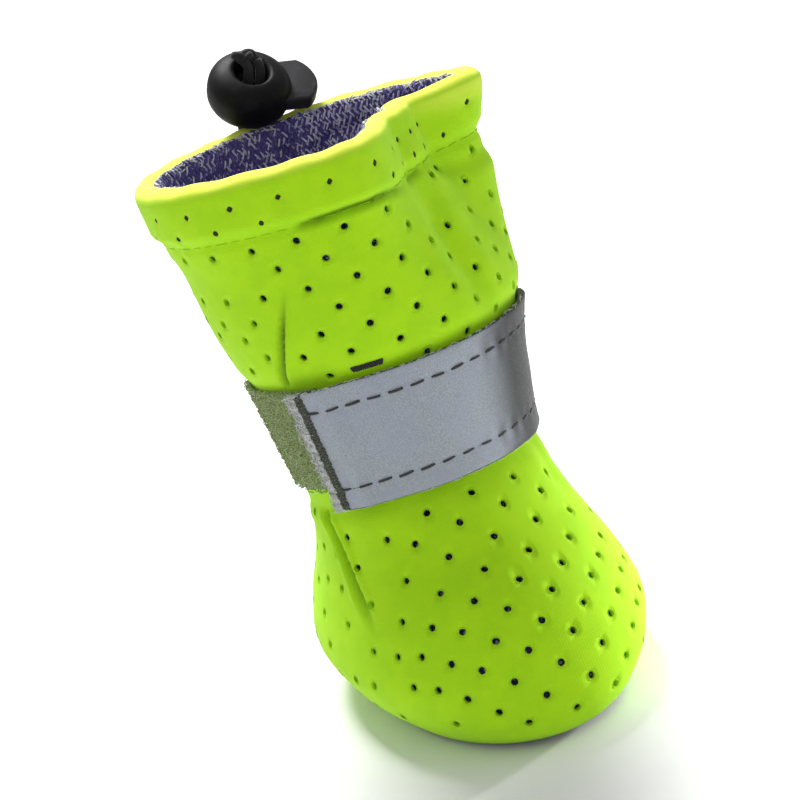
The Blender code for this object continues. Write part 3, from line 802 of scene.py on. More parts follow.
def silver_tape(colour):
    """Reflective tape: fine glass beads, a cloth's faint ribs, a soft gloss, and painted shade where it
    turns away from the view.
    """
    material, shader, nodes = new_material("silver reflective tape", colour, 0.46)
    shader.inputs["Metallic"].default_value = 0.12
    shader.inputs["Specular IOR Level"].default_value = 0.26
    place_in = nodes.place()
    cloth = nodes.cloth()
    beads = nodes.add("ShaderNodeTexVoronoi", Vector=place_in, Scale=4200.0)
    blotch = nodes.noise(place_in, 160.0, 2.0)
    fleck = nodes.noise(place_in, 5200.0, 2.0)
    ribs = group_node(nodes, woven_ribs(), Cloth=cloth, Threads=7000.0)
    tone = nodes.mix(nodes.ramp(fleck, 0.36, 0.66), tinted(colour, 0.84), tinted(colour, 1.15))
    violet = tinted(colour, 1.0, 0.94, 1.08)
    tone = nodes.mix(nodes.times(nodes.ramp(blotch, 0.4, 0.7), 0.5), tone, violet)
    # Painted shade: darker where the tape turns away from the view, standing in for its beads' reflection
    # falling off.
    edge = nodes.add("ShaderNodeLayerWeight", Blend=0.5).outputs["Facing"]
    tone = nodes.mix(nodes.ramp(edge, 0.20, 0.55), tone, tinted(colour, 0.16, 0.1472, 0.136))
    along = nodes.add("ShaderNodeSeparateXYZ", Vector=cloth).outputs["X"]
    start = STRAP_FROM * BAND_RADIUS
    folded = nodes.times(nodes.ramp(along, start + 2.6 * MM, start + 1.9 * MM), 0.85)
    tone = nodes.mix(folded, tone, (0.50, 0.52, 0.50))
    nodes.feed(shader.inputs["Base Color"], tone)
    rough = nodes.plus(nodes.times(beads.outputs["Distance"], 0.35), 0.34)
    nodes.feed(shader.inputs["Roughness"], rough)
    height = nodes.plus(beads.outputs["Distance"], nodes.times(ribs.outputs["Height"], 0.5))
    bump(nodes, shader, height, 0.28, 0.00006)
    return material


def fibre(name, colour, roughness=0.95, sheen=0.35):
    """Loose fibres of one colour, a little lighter here and there."""
    material, shader, nodes = new_material(name, colour, roughness, sheen)
    grain = group_node(nodes, fibre_grain(), Place=nodes.place(), Scale=5200.0)
    speckle = nodes.ramp(grain.outputs["Height"], 0.3, 0.7)
    tone = nodes.mix(speckle, tinted(colour, 0.62), tinted(colour, 1.35))
    nodes.feed(shader.inputs["Base Color"], tone)
    bump(nodes, shader, grain.outputs["Height"], 0.35, 0.0001)
    return material


def moulded_plastic(name, colour, gloss):
    """Matt black moulding: a fine spark-eroded grain and a few worn, lighter places."""
    material, shader, nodes = new_material(name, colour, 0.5)
    shader.inputs["Specular IOR Level"].default_value = gloss
    place_in = nodes.place()
    rubbed_and_lit = nodes.noise(place_in, 500.0, 3.0)
    tone = nodes.mix(nodes.ramp(rubbed_and_lit, 0.50, 0.72), colour, tinted(colour, 1.9))
    nodes.feed(shader.inputs["Base Color"], tone)
    rough = nodes.plus(nodes.times(rubbed_and_lit, 0.22), 0.42)
    nodes.feed(shader.inputs["Roughness"], rough)
    bump(nodes, shader, nodes.noise(place_in, 5200.0, 2.0), 0.22, 0.00005)
    return material


def grip_rubber(colour):
    """Rubbery sole cloth with a fine woven face."""
    material, shader, nodes = new_material("charcoal grip sole", colour, 0.72)
    grain = group_node(nodes, fibre_grain(), Place=nodes.place(), Scale=2600.0)
    tone = nodes.mix(nodes.ramp(grain.outputs["Mottle"], 0.4, 0.65), colour, tinted(colour, 1.5))
    nodes.feed(shader.inputs["Base Color"], tone)
    bump(nodes, shader, grain.outputs["Height"], 0.35, 0.00012)
    return material


def plain_floor(colour):
    """A pale floor with hardly any grain, that glows a little beside the toe."""
    material, shader, nodes = new_material("pale floor", colour, 0.9)
    place_in = nodes.place()
    bump(nodes, shader, nodes.noise(place_in, 300.0, 2.0), 0.02, 0.0001)
    away = nodes.add("ShaderNodeVectorMath", {"operation": "DISTANCE"})
    nodes.feed(away.inputs[0], place_in)
    nodes.feed(away.inputs[1], (0.065, -0.050, 0.0))
    glow = nodes.mix(nodes.ramp(away.outputs["Value"], 0.074, 0.014), (0, 0, 0), (1, 1, 1))
    nodes.feed(shader.inputs["Emission Color"], glow)
    shader.inputs["Emission Strength"].default_value = 1.25
    return material


def shape_tree(kind):
    """A Geometry Nodes tree that sets one small shape on each point of a mesh.

    Each point carries two directions: out, away from the cloth, and along. The shape is an
    arch (a stitch, a loop or a loose fibre), a ring (the lip of a hole) or a dot.
    """
    name = "Repeat " + kind
    if name in bpy.data.node_groups:
        return bpy.data.node_groups[name]
    tree = bpy.data.node_groups.new(name, "GeometryNodeTree")
    face = tree.interface
    face.new_socket(name="Geometry", in_out="INPUT", socket_type="NodeSocketGeometry")
    for label, kind_of, value in (
        ("Length", "NodeSocketFloat", 0.002), ("Height", "NodeSocketFloat", 0.0004),
        ("Thickness", "NodeSocketFloat", 0.0003), ("Size jitter", "NodeSocketFloat", 0.1),
        ("Turn jitter", "NodeSocketFloat", 0.1), ("Seed", "NodeSocketInt", SEED),
    ):
        face.new_socket(name=label, in_out="INPUT", socket_type=kind_of).default_value = value
    face.new_socket(name="Material", in_out="INPUT", socket_type="NodeSocketMaterial")
    face.new_socket(name="Geometry", in_out="OUTPUT", socket_type="NodeSocketGeometry")
    nodes = Nodes(tree)
    given = tree.nodes.new("NodeGroupInput").outputs
    taken = tree.nodes.new("NodeGroupOutput").inputs
    half = nodes.times(given["Length"], 0.5)
    if kind == "arch":
        start = nodes.add("ShaderNodeCombineXYZ", X=nodes.times(half, -1.0),
                          Z=nodes.times(given["Height"], -0.35))
        middle = nodes.add("ShaderNodeCombineXYZ", Z=nodes.times(given["Height"], 1.65))
        end = nodes.add("ShaderNodeCombineXYZ", X=half, Z=nodes.times(given["Height"], -0.35))
        line = nodes.add("GeometryNodeCurveQuadraticBezier", Resolution=5,
                         Start=start.outputs[0], Middle=middle.outputs[0], End=end.outputs[0])
    if kind == "ring":
        line = nodes.add("GeometryNodeCurvePrimitiveCircle", Resolution=12, Radius=half)
    if kind == "dot":
        ball = nodes.add("GeometryNodeMeshUVSphere", Segments=10, Rings=6, Radius=half)
        flat = nodes.math("DIVIDE", given["Height"], half)
        shape = nodes.add("GeometryNodeTransform", Geometry=ball.outputs["Mesh"],
                          Scale=nodes.add("ShaderNodeCombineXYZ", X=1.0, Y=1.0, Z=flat).outputs[0])
        made = shape.outputs["Geometry"]
    else:
        radius = nodes.times(given["Thickness"], 0.5)
        section = nodes.add("GeometryNodeCurvePrimitiveCircle", Resolution=5, Radius=radius)
        tube = nodes.add("GeometryNodeCurveToMesh", Curve=line.outputs["Curve"],
                         Profile_Curve=section.outputs["Curve"], Fill_Caps=True)
        made = tube.outputs["Mesh"]
    out = nodes.add("GeometryNodeInputNamedAttribute", {"data_type": "FLOAT_VECTOR"}, Name="out")
    along = nodes.add("GeometryNodeInputNamedAttribute", {"data_type": "FLOAT_VECTOR"}, Name="along")
    facing = nodes.add("FunctionNodeAxesToRotation", {"primary_axis": "Z", "secondary_axis": "X"})
    tree.links.new(out.outputs["Attribute"], facing.inputs[0])
    tree.links.new(along.outputs["Attribute"], facing.inputs[1])
    swing = nodes.add("FunctionNodeRandomValue", {"data_type": "FLOAT"}, Seed=given["Seed"],
                      Min=nodes.times(given["Turn jitter"], -1.0), Max=given["Turn jitter"])
    euler = nodes.add("ShaderNodeCombineXYZ", Z=swing.outputs[1])
    spin = nodes.add("FunctionNodeEulerToRotation", Euler=euler.outputs[0])
    turned = nodes.add("FunctionNodeRotateRotation", {"rotation_space": "LOCAL"})
    tree.links.new(facing.outputs[0], turned.inputs[0])
    tree.links.new(spin.outputs[0], turned.inputs[1])
    size = nodes.add("FunctionNodeRandomValue", {"data_type": "FLOAT"},
                     Seed=nodes.plus(given["Seed"], 7.0),
                     Min=nodes.math("SUBTRACT", 1.0, given["Size jitter"]),
                     Max=nodes.plus(1.0, given["Size jitter"]))
    many = nodes.add("GeometryNodeInstanceOnPoints", Points=given["Geometry"], Instance=made,
                     Rotation=turned.outputs[0], Scale=size.outputs[1])
    real = nodes.add("GeometryNodeRealizeInstances", Geometry=many.outputs["Instances"])
    soft = nodes.add("GeometryNodeSetShadeSmooth", Geometry=real.outputs["Geometry"])
    done = nodes.add("GeometryNodeSetMaterial", Geometry=soft.outputs["Geometry"],
                     Material=given["Material"])
    tree.links.new(done.outputs["Geometry"], taken["Geometry"])
    return tree


def repeated(name, slot, spots, kind, material, **sizes):
    """Makes and keeps a piece with one small shape on each spot, as plain mesh."""
    mesh = bpy.data.meshes.new(name)
    mesh.from_pydata([tuple(s.point) for s in spots], [], [])
    for label in ("out", "along"):
        layer = mesh.attributes.new(label, "FLOAT_VECTOR", "POINT")
        layer.data.foreach_set("vector", [c for s in spots for c in getattr(s, label)])
    piece = bpy.data.objects.new(name, mesh)
    bpy.context.scene.collection.objects.link(piece)
    tree = shape_tree(kind)
    modifier = piece.modifiers.new("repeat", "NODES")
    modifier.node_group = tree
    sizes["Material"] = material
    for socket in tree.interface.items_tree:
        key = socket.name.replace(" ", "_")
        if socket.in_out == "INPUT" and key in sizes:
            modifier[socket.identifier] = sizes[key]
    keep(applied(piece).name, "boot")


def evenly(lengths, count):
    """For places evenly spaced along a line: the stretch each lies in, and its share of it."""
    k = 0
    for i in range(count + 1):
        want = lengths[-1] * i / count
        while k < len(lengths) - 2 and lengths[k + 1] < want:
            k += 1
        yield k, (want - lengths[k]) / (lengths[k + 1] - lengths[k])


def skin_rows(step):
    """Stations of the outer cloth's mesh lines, evenly spaced over it, and its length."""
    count = 900
    fine = [EDGE_RISE + (CAP_STATION - EDGE_RISE) * i / count for i in range(count + 1)]
    lengths = [0.0]
    for a, b in zip(fine, fine[1:]):
        part = 0.0
        for degrees in (0, 60, 120, 180):
            t = math.radians(degrees)
            part += (place(t, b, outside(t, b)) - place(t, a, outside(t, a))).length / 4
        lengths.append(lengths[-1] + part)
    spacing = evenly(lengths, round(lengths[-1] / step))
    return [fine[k] + (fine[k + 1] - fine[k]) * share for k, share in spacing], lengths[-1]


def perforations(step):
    """Where the holes are: two rows round the hem, then rows square to the front line, walked
    round both sides, and the rest of the back filled at the same spacing."""
    holes, cells = [], {}

    def cell(point):
        return tuple(int(c // (2 * step)) for c in point)

    def free(point, room):
        x, y, z = cell(point)
        near = ((x + dx, y + dy, z + dz) for dx in (-1, 0, 1) for dy in (-1, 0, 1) for dz in (-1, 0, 1))
        return all((other - point).length >= room for key in near for other in cells.get(key, ()))

    def add(turn, station, room):
        point = skin(turn, station)
        if free(point, room):
            cells.setdefault(cell(point), []).append(point)
            holes.append((turn, station))

    hem_rows = (CAP_STATION - 2.4 * MM, CAP_STATION - 5.6 * MM, HEM_STATION - 2.1 * MM)
    around_length = sum(skin_frame(math.radians(d), hem_rows[1])[0].length for d in range(0, 360, 5)) / 72
    count = round(around_length * 2 * math.pi / (2 * step))
    for row, station in enumerate(hem_rows):
        for k in range(count):
            add(2 * math.pi * (k + 0.5 * (row % 2)) / count - math.pi, station, step * 0.7)
    top = hem_rows[2] - step * 0.8
    front, station = [], CAP_STATION - 2.3 * MM
    while station > EDGE_RISE + 1.2 * MM:
        front.append(station)
        station -= step / skin_frame(0.0, station)[1].length
    for row, start in enumerate(front):
        across_plane = skin_frame(0.0, start)[1].normalized()
        for side in (1, -1):
            turn, station, gone = 0.0, start, 0.0
            pace = step / 5
            want = 0.0 if row % 2 == 0 else step
            while abs(turn) < math.pi and EDGE_RISE + 1.2 * MM < station < CAP_STATION - 0.8 * MM:
                if gone >= want - 1e-9:
                    if (side == 1 or gone > 0.0) and station < top:
                        add(turn, station, step * 1.12)
                    want += 2 * step
                around, up, out = skin_frame(turn, station)
                a, b = up.dot(across_plane), -around.dot(across_plane)
                if a < 0.0:
                    a, b = -a, -b
                length = (around * a + up * b).length
                turn += side * a / length * pace
                station += side * b / length * pace
                gone += pace
    station = EDGE_RISE + 1.6 * MM
    while station < top:
        for k in range(120):
            turn = 2 * math.pi * (k + 20.5) / 120
            if 60 < math.degrees(turn) < 300:
                add((turn + math.pi) % (2 * math.pi) - math.pi, station, step * 1.30)
        station += 0.9 * MM
    return holes


def beside_bar_tack(turn, station):
    """Whether a hole here would run into the bar tack over the strap."""
    across = abs(math.degrees(turn) - (TACK_FROM + TACK_TO) / 2) < (TACK_TO - TACK_FROM) / 2 + 3.5
    return across and abs(station - TACK_STATION) < 1.7 * MM


def cut_holes(turns, rows, stations, holes, radius, chance):
    """Moves eight mesh points round each hole.

    Gives the middle points of the open holes, to be dropped, those of the hem's blind dimples,
    and the places of the open holes.
    """
    columns = len(turns[0])
    dropped, dimples, cut = set(), set(), []
    for turn, station in holes:
        wrapped = (turn + math.pi) % (2 * math.pi)
        j = round(wrapped / (2 * math.pi) * columns) % columns
        i = min(range(len(stations)), key=lambda k: abs(stations[k] - station))
        sharp = any(c.width < 1.0 and d < 1.9 for c, d, ends, way in near_creases(turn, station))
        if i < 2 or i > len(stations) - 4 or sharp or beside_bar_tack(turn, station):
            continue
        around, up, out = skin_frame(turn, station)
        blind = station > HEM_STATION - 0.4 * MM
        size = radius * chance.uniform(0.92, 1.10) * (0.98 if blind else 1.0)
        stretch = chance.uniform(0.92, 1.10)
        for di in (-1, 0, 1):
            for dj in (-1, 0, 1):
                if di or dj:
                    angle = math.atan2(di, dj)
                    k = (j + dj) % columns
                    turns[i + di][k] = turn + size * stretch * math.cos(angle) / around.length
                    rows[i + di][k] = station + size / stretch * math.sin(angle) / up.length
        turns[i][j], rows[i][j] = turn, station
        if blind:
            dimples.add((i, j))
        else:
            dropped.add((i, j))
            cut.append((turn, station))
    return dropped, dimples, cut


def rim_ruck(turn, angle):
    """The small rucks along the rolled rim, strongest on top."""
    return 0.12 * MM * math.sin(turn * 23.0 + 1.5 * math.sin(turn * 4.0)) * math.sin(angle)


def over_the_rim(turn, bend):
    """A point of the cloth where it rolls over the rim, bend from 0 outside to 180 inside."""
    out, into = outside(turn, CAP_STATION), inside(turn, CAP_STATION)
    angle = math.radians(bend)
    radius = (out + into) / 2 + (out - into) / 2 * math.cos(angle)
    return place(turn, CAP_STATION, radius + relief(turn, CAP_STATION) * math.cos(angle / 2),
                 HEM_WALL / 2 * math.sin(angle) + rim_ruck(turn, angle))


class DOGBOOT_OT_stage(bpy.types.Operator):
    """Sets up the camera, the pale floor and the soft lights"""
    bl_idname = "dogboot.stage"
    bl_label = "Stage"

    def execute(self, context):
        p = context.scene.dog_boot_stage
        target = Vector((0.0, 0.008, 0.044))
        level = Vector((math.sin(p.yaw), math.cos(p.yaw), 0.0))
        view = level * math.cos(p.elevation) - Vector((0, 0, 1)) * math.sin(p.elevation)
        up_plain = level * math.sin(p.elevation) + Vector((0, 0, 1)) * math.cos(p.elevation)
        right_plain = view.cross(up_plain)
        right = right_plain * math.cos(p.roll) - up_plain * math.sin(p.roll)
        up = right_plain * math.sin(p.roll) + up_plain * math.cos(p.roll)
        camera = bpy.data.objects.new("camera", bpy.data.cameras.new("camera"))
        camera.data.angle = 2 * math.atan(p.frame_width / 2 / p.distance)
        camera.data.clip_start = 0.01
        camera.matrix_world = Matrix((
            (right.x, up.x, -view.x, 0.0), (right.y, up.y, -view.y, 0.0),
            (right.z, up.z, -view.z, 0.0), (0.0, 0.0, 0.0, 1.0),
        ))
        camera.location = target - view * p.distance
        context.scene.collection.objects.link(camera)
        context.scene.camera = camera

        size = 3.0
        corners = [(-size, -size, 0), (size, -size, 0), (size, size, 0), (-size, size, 0)]
        floor = mesh_piece("floor", corners, [(0, 1, 2, 3)], plain_floor(p.floor))

        beside_toe = Vector((0.022, -0.016, 0.010))
        self.lamp("key light", "AREA", (0.02, 0.34, 0.58), target, p.key, size=0.22)
        self.lamp("side light", "SPOT", (0.34, 0.00, 0.06), beside_toe, p.side,
                  spot_size=math.radians(11), spot_blend=0.9, shadow_soft_size=0.015)
        self.lamp("fill light", "AREA", (-0.40, -0.50, 0.45), target, p.fill, size=0.40)
        world = bpy.data.worlds.new("soft studio")
        world.use_nodes = True
        sky = world.node_tree.nodes["Background"]
        sky.inputs["Color"].default_value = (1.0, 1.0, 1.0, 1.0)
        sky.inputs["Strength"].default_value = p.sky
        context.scene.world = world
        context.scene.view_settings.view_transform = "Standard"
        return {"FINISHED"}

    def lamp(self, name, kind, place_at, target, power, **settings):
        """One soft lamp, turned to its target."""
        lamp = bpy.data.lights.new(name, kind)
        lamp.energy = power
        for key, value in settings.items():
            setattr(lamp, key, value)
        made = bpy.data.objects.new(name, lamp)
        made.location = place_at
        made.rotation_euler = (target - Vector(place_at)).to_track_quat("-Z", "Y").to_euler()
        bpy.context.scene.collection.objects.link(made)


def lock_matrix():
    """The cord lock's place: on top of the rim's back, tipped towards the toe."""
    middle = (outside(LOCK_SEAT_TURN, CAP_STATION) + inside(LOCK_SEAT_TURN, CAP_STATION)) / 2
    seat = place(LOCK_SEAT_TURN, CAP_STATION, middle, HEM_WALL / 2)
    turned = LOCK_TURNS.to_matrix()
    centre = seat + turned @ Vector((0.0, LOCK_HANG, LOCK_THICKNESS / 2 + GAP))
    return Matrix.Translation(centre) @ turned.to_4x4()


def strand_points(x, side):
    """One end of the cord, from the hem's back up through the lock."""
    lock = lock_matrix()
    station = RIM_STATION - CORD_DROP
    turn = math.pi - side * math.radians(5)
    leaving = place(turn, station, outside(turn, station) + CORD_DIAMETER)
    tied = Vector((x - 0.5 * MM, 0.0017, 0.0047))
    return [leaving] + [lock @ Vector((x, row.back, row.rise)) for row in STRAND_ROWS] + [lock @ tied]


def casing_points():
    """The cord's way round inside the hem."""
    station = RIM_STATION - CORD_DROP
    start, end = -math.pi + EXIT_TURN, math.pi - EXIT_TURN
    count = 48
    points = []
    for i in range(count):
        t = start + (end - start) * i / (count - 1)
        points.append(place(t, station, (outside(t, station) + inside(t, station)) / 2))
    return points


def smooth_route(points, step):
    """Evenly spaced points of a smooth curve through the route's own points, and its length."""
    fine = []
    for i in range(len(points) - 1):
        p0, p1 = points[max(0, i - 1)], points[i]
        p2, p3 = points[i + 1], points[min(len(points) - 1, i + 2)]
        for k in range(12):
            t = k / 12
            fine.append(0.5 * (2 * p1 + (p2 - p0) * t + (2 * p0 - 5 * p1 + 4 * p2 - p3) * t ** 2
                               + (3 * p1 - p0 - 3 * p2 + p3) * t ** 3))
    fine.append(points[-1])
    lengths = [0.0]
    for a, b in zip(fine, fine[1:]):
        lengths.append(lengths[-1] + (b - a).length)
    spacing = evenly(lengths, max(2, round(lengths[-1] / step)))
    return [fine[k].lerp(fine[k + 1], share) for k, share in spacing], lengths[-1]


def braided_tube(path, diameter, sides=14, pitch=0.0022, relief_share=0.07, closed=False):
    """Points and faces of a round braided cord along a path."""
    points = []
    count = len(path)
    side = None
    gone = 0.0
    for i, point in enumerate(path):
        before = path[i - 1] if i or closed else path[0]
        after = path[(i + 1) % count] if i < count - 1 or closed else path[-1]
        ahead = (after - before).normalized()
        if side is None:
            side = ahead.orthogonal().normalized()
        side = (side - ahead * side.dot(ahead)).normalized()
        other = ahead.cross(side)
        if i:
            gone += (point - path[i - 1]).length
        phase = 2 * math.pi * gone / pitch
        for j in range(sides):
            a = 2 * math.pi * j / sides
            strand = abs(math.sin(2.5 * a + phase / 2)) * abs(math.sin(2.5 * a - phase / 2))
            radius = diameter / 2 * (1.0 - relief_share + relief_share * strand)
            points.append(point + (side * math.cos(a) + other * math.sin(a)) * radius)
    return points, tube_faces(count, sides, "joined" if closed else "capped")


class DOGBOOT_OT_drawcord(bpy.types.Operator):
    """Makes the elastic drawcord, through the hem and the lock, and its knot"""
    bl_idname = "dogboot.drawcord"
    bl_label = "Drawcord and knot"

    def execute(self, context):
        p = context.scene.dog_boot_trim
        elastic = fibre("black braided elastic", tinted(p.black, 1.3), 0.85, 0.15)
        left, right = strand_points(STRAND_INNER, -1), strand_points(STRAND_OUTER, 1)
        route, length = smooth_route(left[::-1] + casing_points() + right, 0.35 * MM)
        mesh_piece("drawcord_elastic", *braided_tube(route, CORD_DIAMETER), elastic)
        cord = keep("drawcord_elastic", "boot", ["drawcord"])
        turn_outwards(cord)

        lock = lock_matrix()
        loops = []
        count = 150
        for i in range(count):
            t = 2 * math.pi * i / count
            x = (math.sin(t) + 2 * math.sin(2 * t)) / 3
            y = (math.cos(t) - 2 * math.cos(2 * t)) / 3
            z = -math.sin(3 * t)
            inset = CORD_DIAMETER * 0.42
            half = [s / 2 - inset for s in KNOT_SIZE]
            loops.append(lock @ (KNOT_PLACE + Vector((x * half[0], y * half[1], z * half[2]))))
        mesh_piece("drawcord_tied_knot",
                   *braided_tube(loops, CORD_DIAMETER * 0.8, closed=True), elastic)
        knot = keep("drawcord_tied_knot", "boot", ["drawcord_knot"])
        turn_outwards(knot)
        return {"FINISHED"}


class DOGBOOT_OT_upper(bpy.types.Operator):
    """Makes the perforated outer cloth with its folds, holes and rolled rim"""
    bl_idname = "dogboot.upper"
    bl_label = "Upper cloth"

    def execute(self, context):
        p = context.scene.dog_boot_fabric
        chance = random.Random(context.scene.dog_boot_stage.seed)
        stations, length = skin_rows(round(p.cell, 7))
        columns = 2 * round(0.5 * UPPER_GIRTH / p.cell)
        turns, rows = [], []
        for s in stations:
            line = [pulled(2 * math.pi * j / columns - math.pi, s, p.cell) for j in range(columns)]
            turns.append([turn for turn, station in line])
            rows.append([min(CAP_STATION, max(EDGE_RISE, station)) for turn, station in line])
        holes = perforations(p.hole_step)
        dropped, dimples, holes = cut_holes(turns, rows, stations, holes, p.hole / 2, chance)
        points, uvs, painted_shade_and_highlight = [], [], []
        for i in range(len(stations)):
            for j in range(columns):
                here = skin(turns[i][j], rows[i][j])
                # Painted shade: darker in sharp creases, and darker still in the hem's blind dimples.
                painted_shade = crease_shade(turns[i][j], rows[i][j])
                if (i, j) in dimples:
                    here = here - skin_frame(turns[i][j], rows[i][j])[2] * chance.uniform(0.35, 0.6) * MM
                    painted_shade = chance.uniform(0.75, 1.0)
                points.append(here)
                painted_shade_and_highlight.append(painted_shade)
                uvs.append((turns[i][j] * UPPER_RADIUS, length * i / (len(stations) - 1)))
        bends = list(range(18, 181, 18))
        plain = [2 * math.pi * j / columns - math.pi for j in range(columns)]
        for bend in bends:
            points += [over_the_rim(t, bend) for t in plain]
            uvs += [(t * UPPER_RADIUS, length + bend * MM * 0.035) for t in plain]
        tucks = [p.turn_in * k / 4 for k in range(1, 5)]
        for tuck in tucks:
            for t in plain:
                ragged = tuck + (0.25 * MM * math.sin(t * 41) if tuck == tucks[-1] else 0.0)
                station = CAP_STATION - ragged
                points.append(place(t, station, inside(t, station) + relief(t, station)))
                uvs.append((t * UPPER_RADIUS, length + 6.3 * MM + tuck))
        faces = tube_faces(len(stations) + len(bends) + len(tucks), columns)
        gone = {i * columns + j for i, j in dropped}
        faces = [f for f in faces if not any(v in gone for v in f)]
        # Painted highlight near the rim, reaching further down at the ear; then on the roll, strongest
        # where it faces up, and on the turn-in.
        for i in range(len(stations)):
            for j in range(columns):
                ear = math.exp(-((math.degrees(turns[i][j]) - EAR_TURN) / EAR_SPREAD) ** 2)
                depth = (1.0 + 4.5 * ear) * MM
                rim_highlight = smooth((stations[i] - CAP_STATION + depth) / depth)
                painted_shade_and_highlight[i * columns + j] -= rim_highlight * (0.12 + 0.45 * ear)
        painted_shade_and_highlight += [-0.12 - 0.88 * smooth(bend / 55) for bend in bends for t in plain]
        painted_shade_and_highlight += [-1.0] * (len(points) - len(painted_shade_and_highlight))
        cloth = lime_cloth(p.lime)
        piece = mesh_piece("upper_cloth", points, faces, cloth, uvs, painted_shade_and_highlight)
        shape = bmesh.new()
        shape.from_mesh(piece.data)
        bmesh.ops.delete(shape, geom=[v for v in shape.verts if not v.link_faces], context="VERTS")
        shape.to_mesh(piece.data)
        shape.free()
        thicken(piece, p.thickness)
        keep("upper_cloth", "boot", ["upper"])

        lips = [skin_spot(turn, station, -0.03 * MM) for turn, station in holes]
        lip = tinted(p.lime, 0.80, 0.84, 0.8)
        repeated("perforation_lips", "lime fabric", lips, "ring",
                 lime_cloth(lip, "sealed hole edge"), Length=p.hole * 1.02, Thickness=0.17 * MM,
                 Size_jitter=0.05, Turn_jitter=0.5)

        floors = [skin_spot(turns[i][j], rows[i][j], -0.13 * MM) for i, j in sorted(dimples)]
        shade = tinted(p.lime, 0.04, 0.03, 1.0)
        repeated("hem_hole_floors", "lime fabric", floors, "dot",
                 fibre("shaded hole floor", shade, 0.95, 0.0), Length=p.hole * 0.80,
                 Height=0.07 * MM, Size_jitter=0.16, Turn_jitter=0.5)
        return {"FINISHED"}


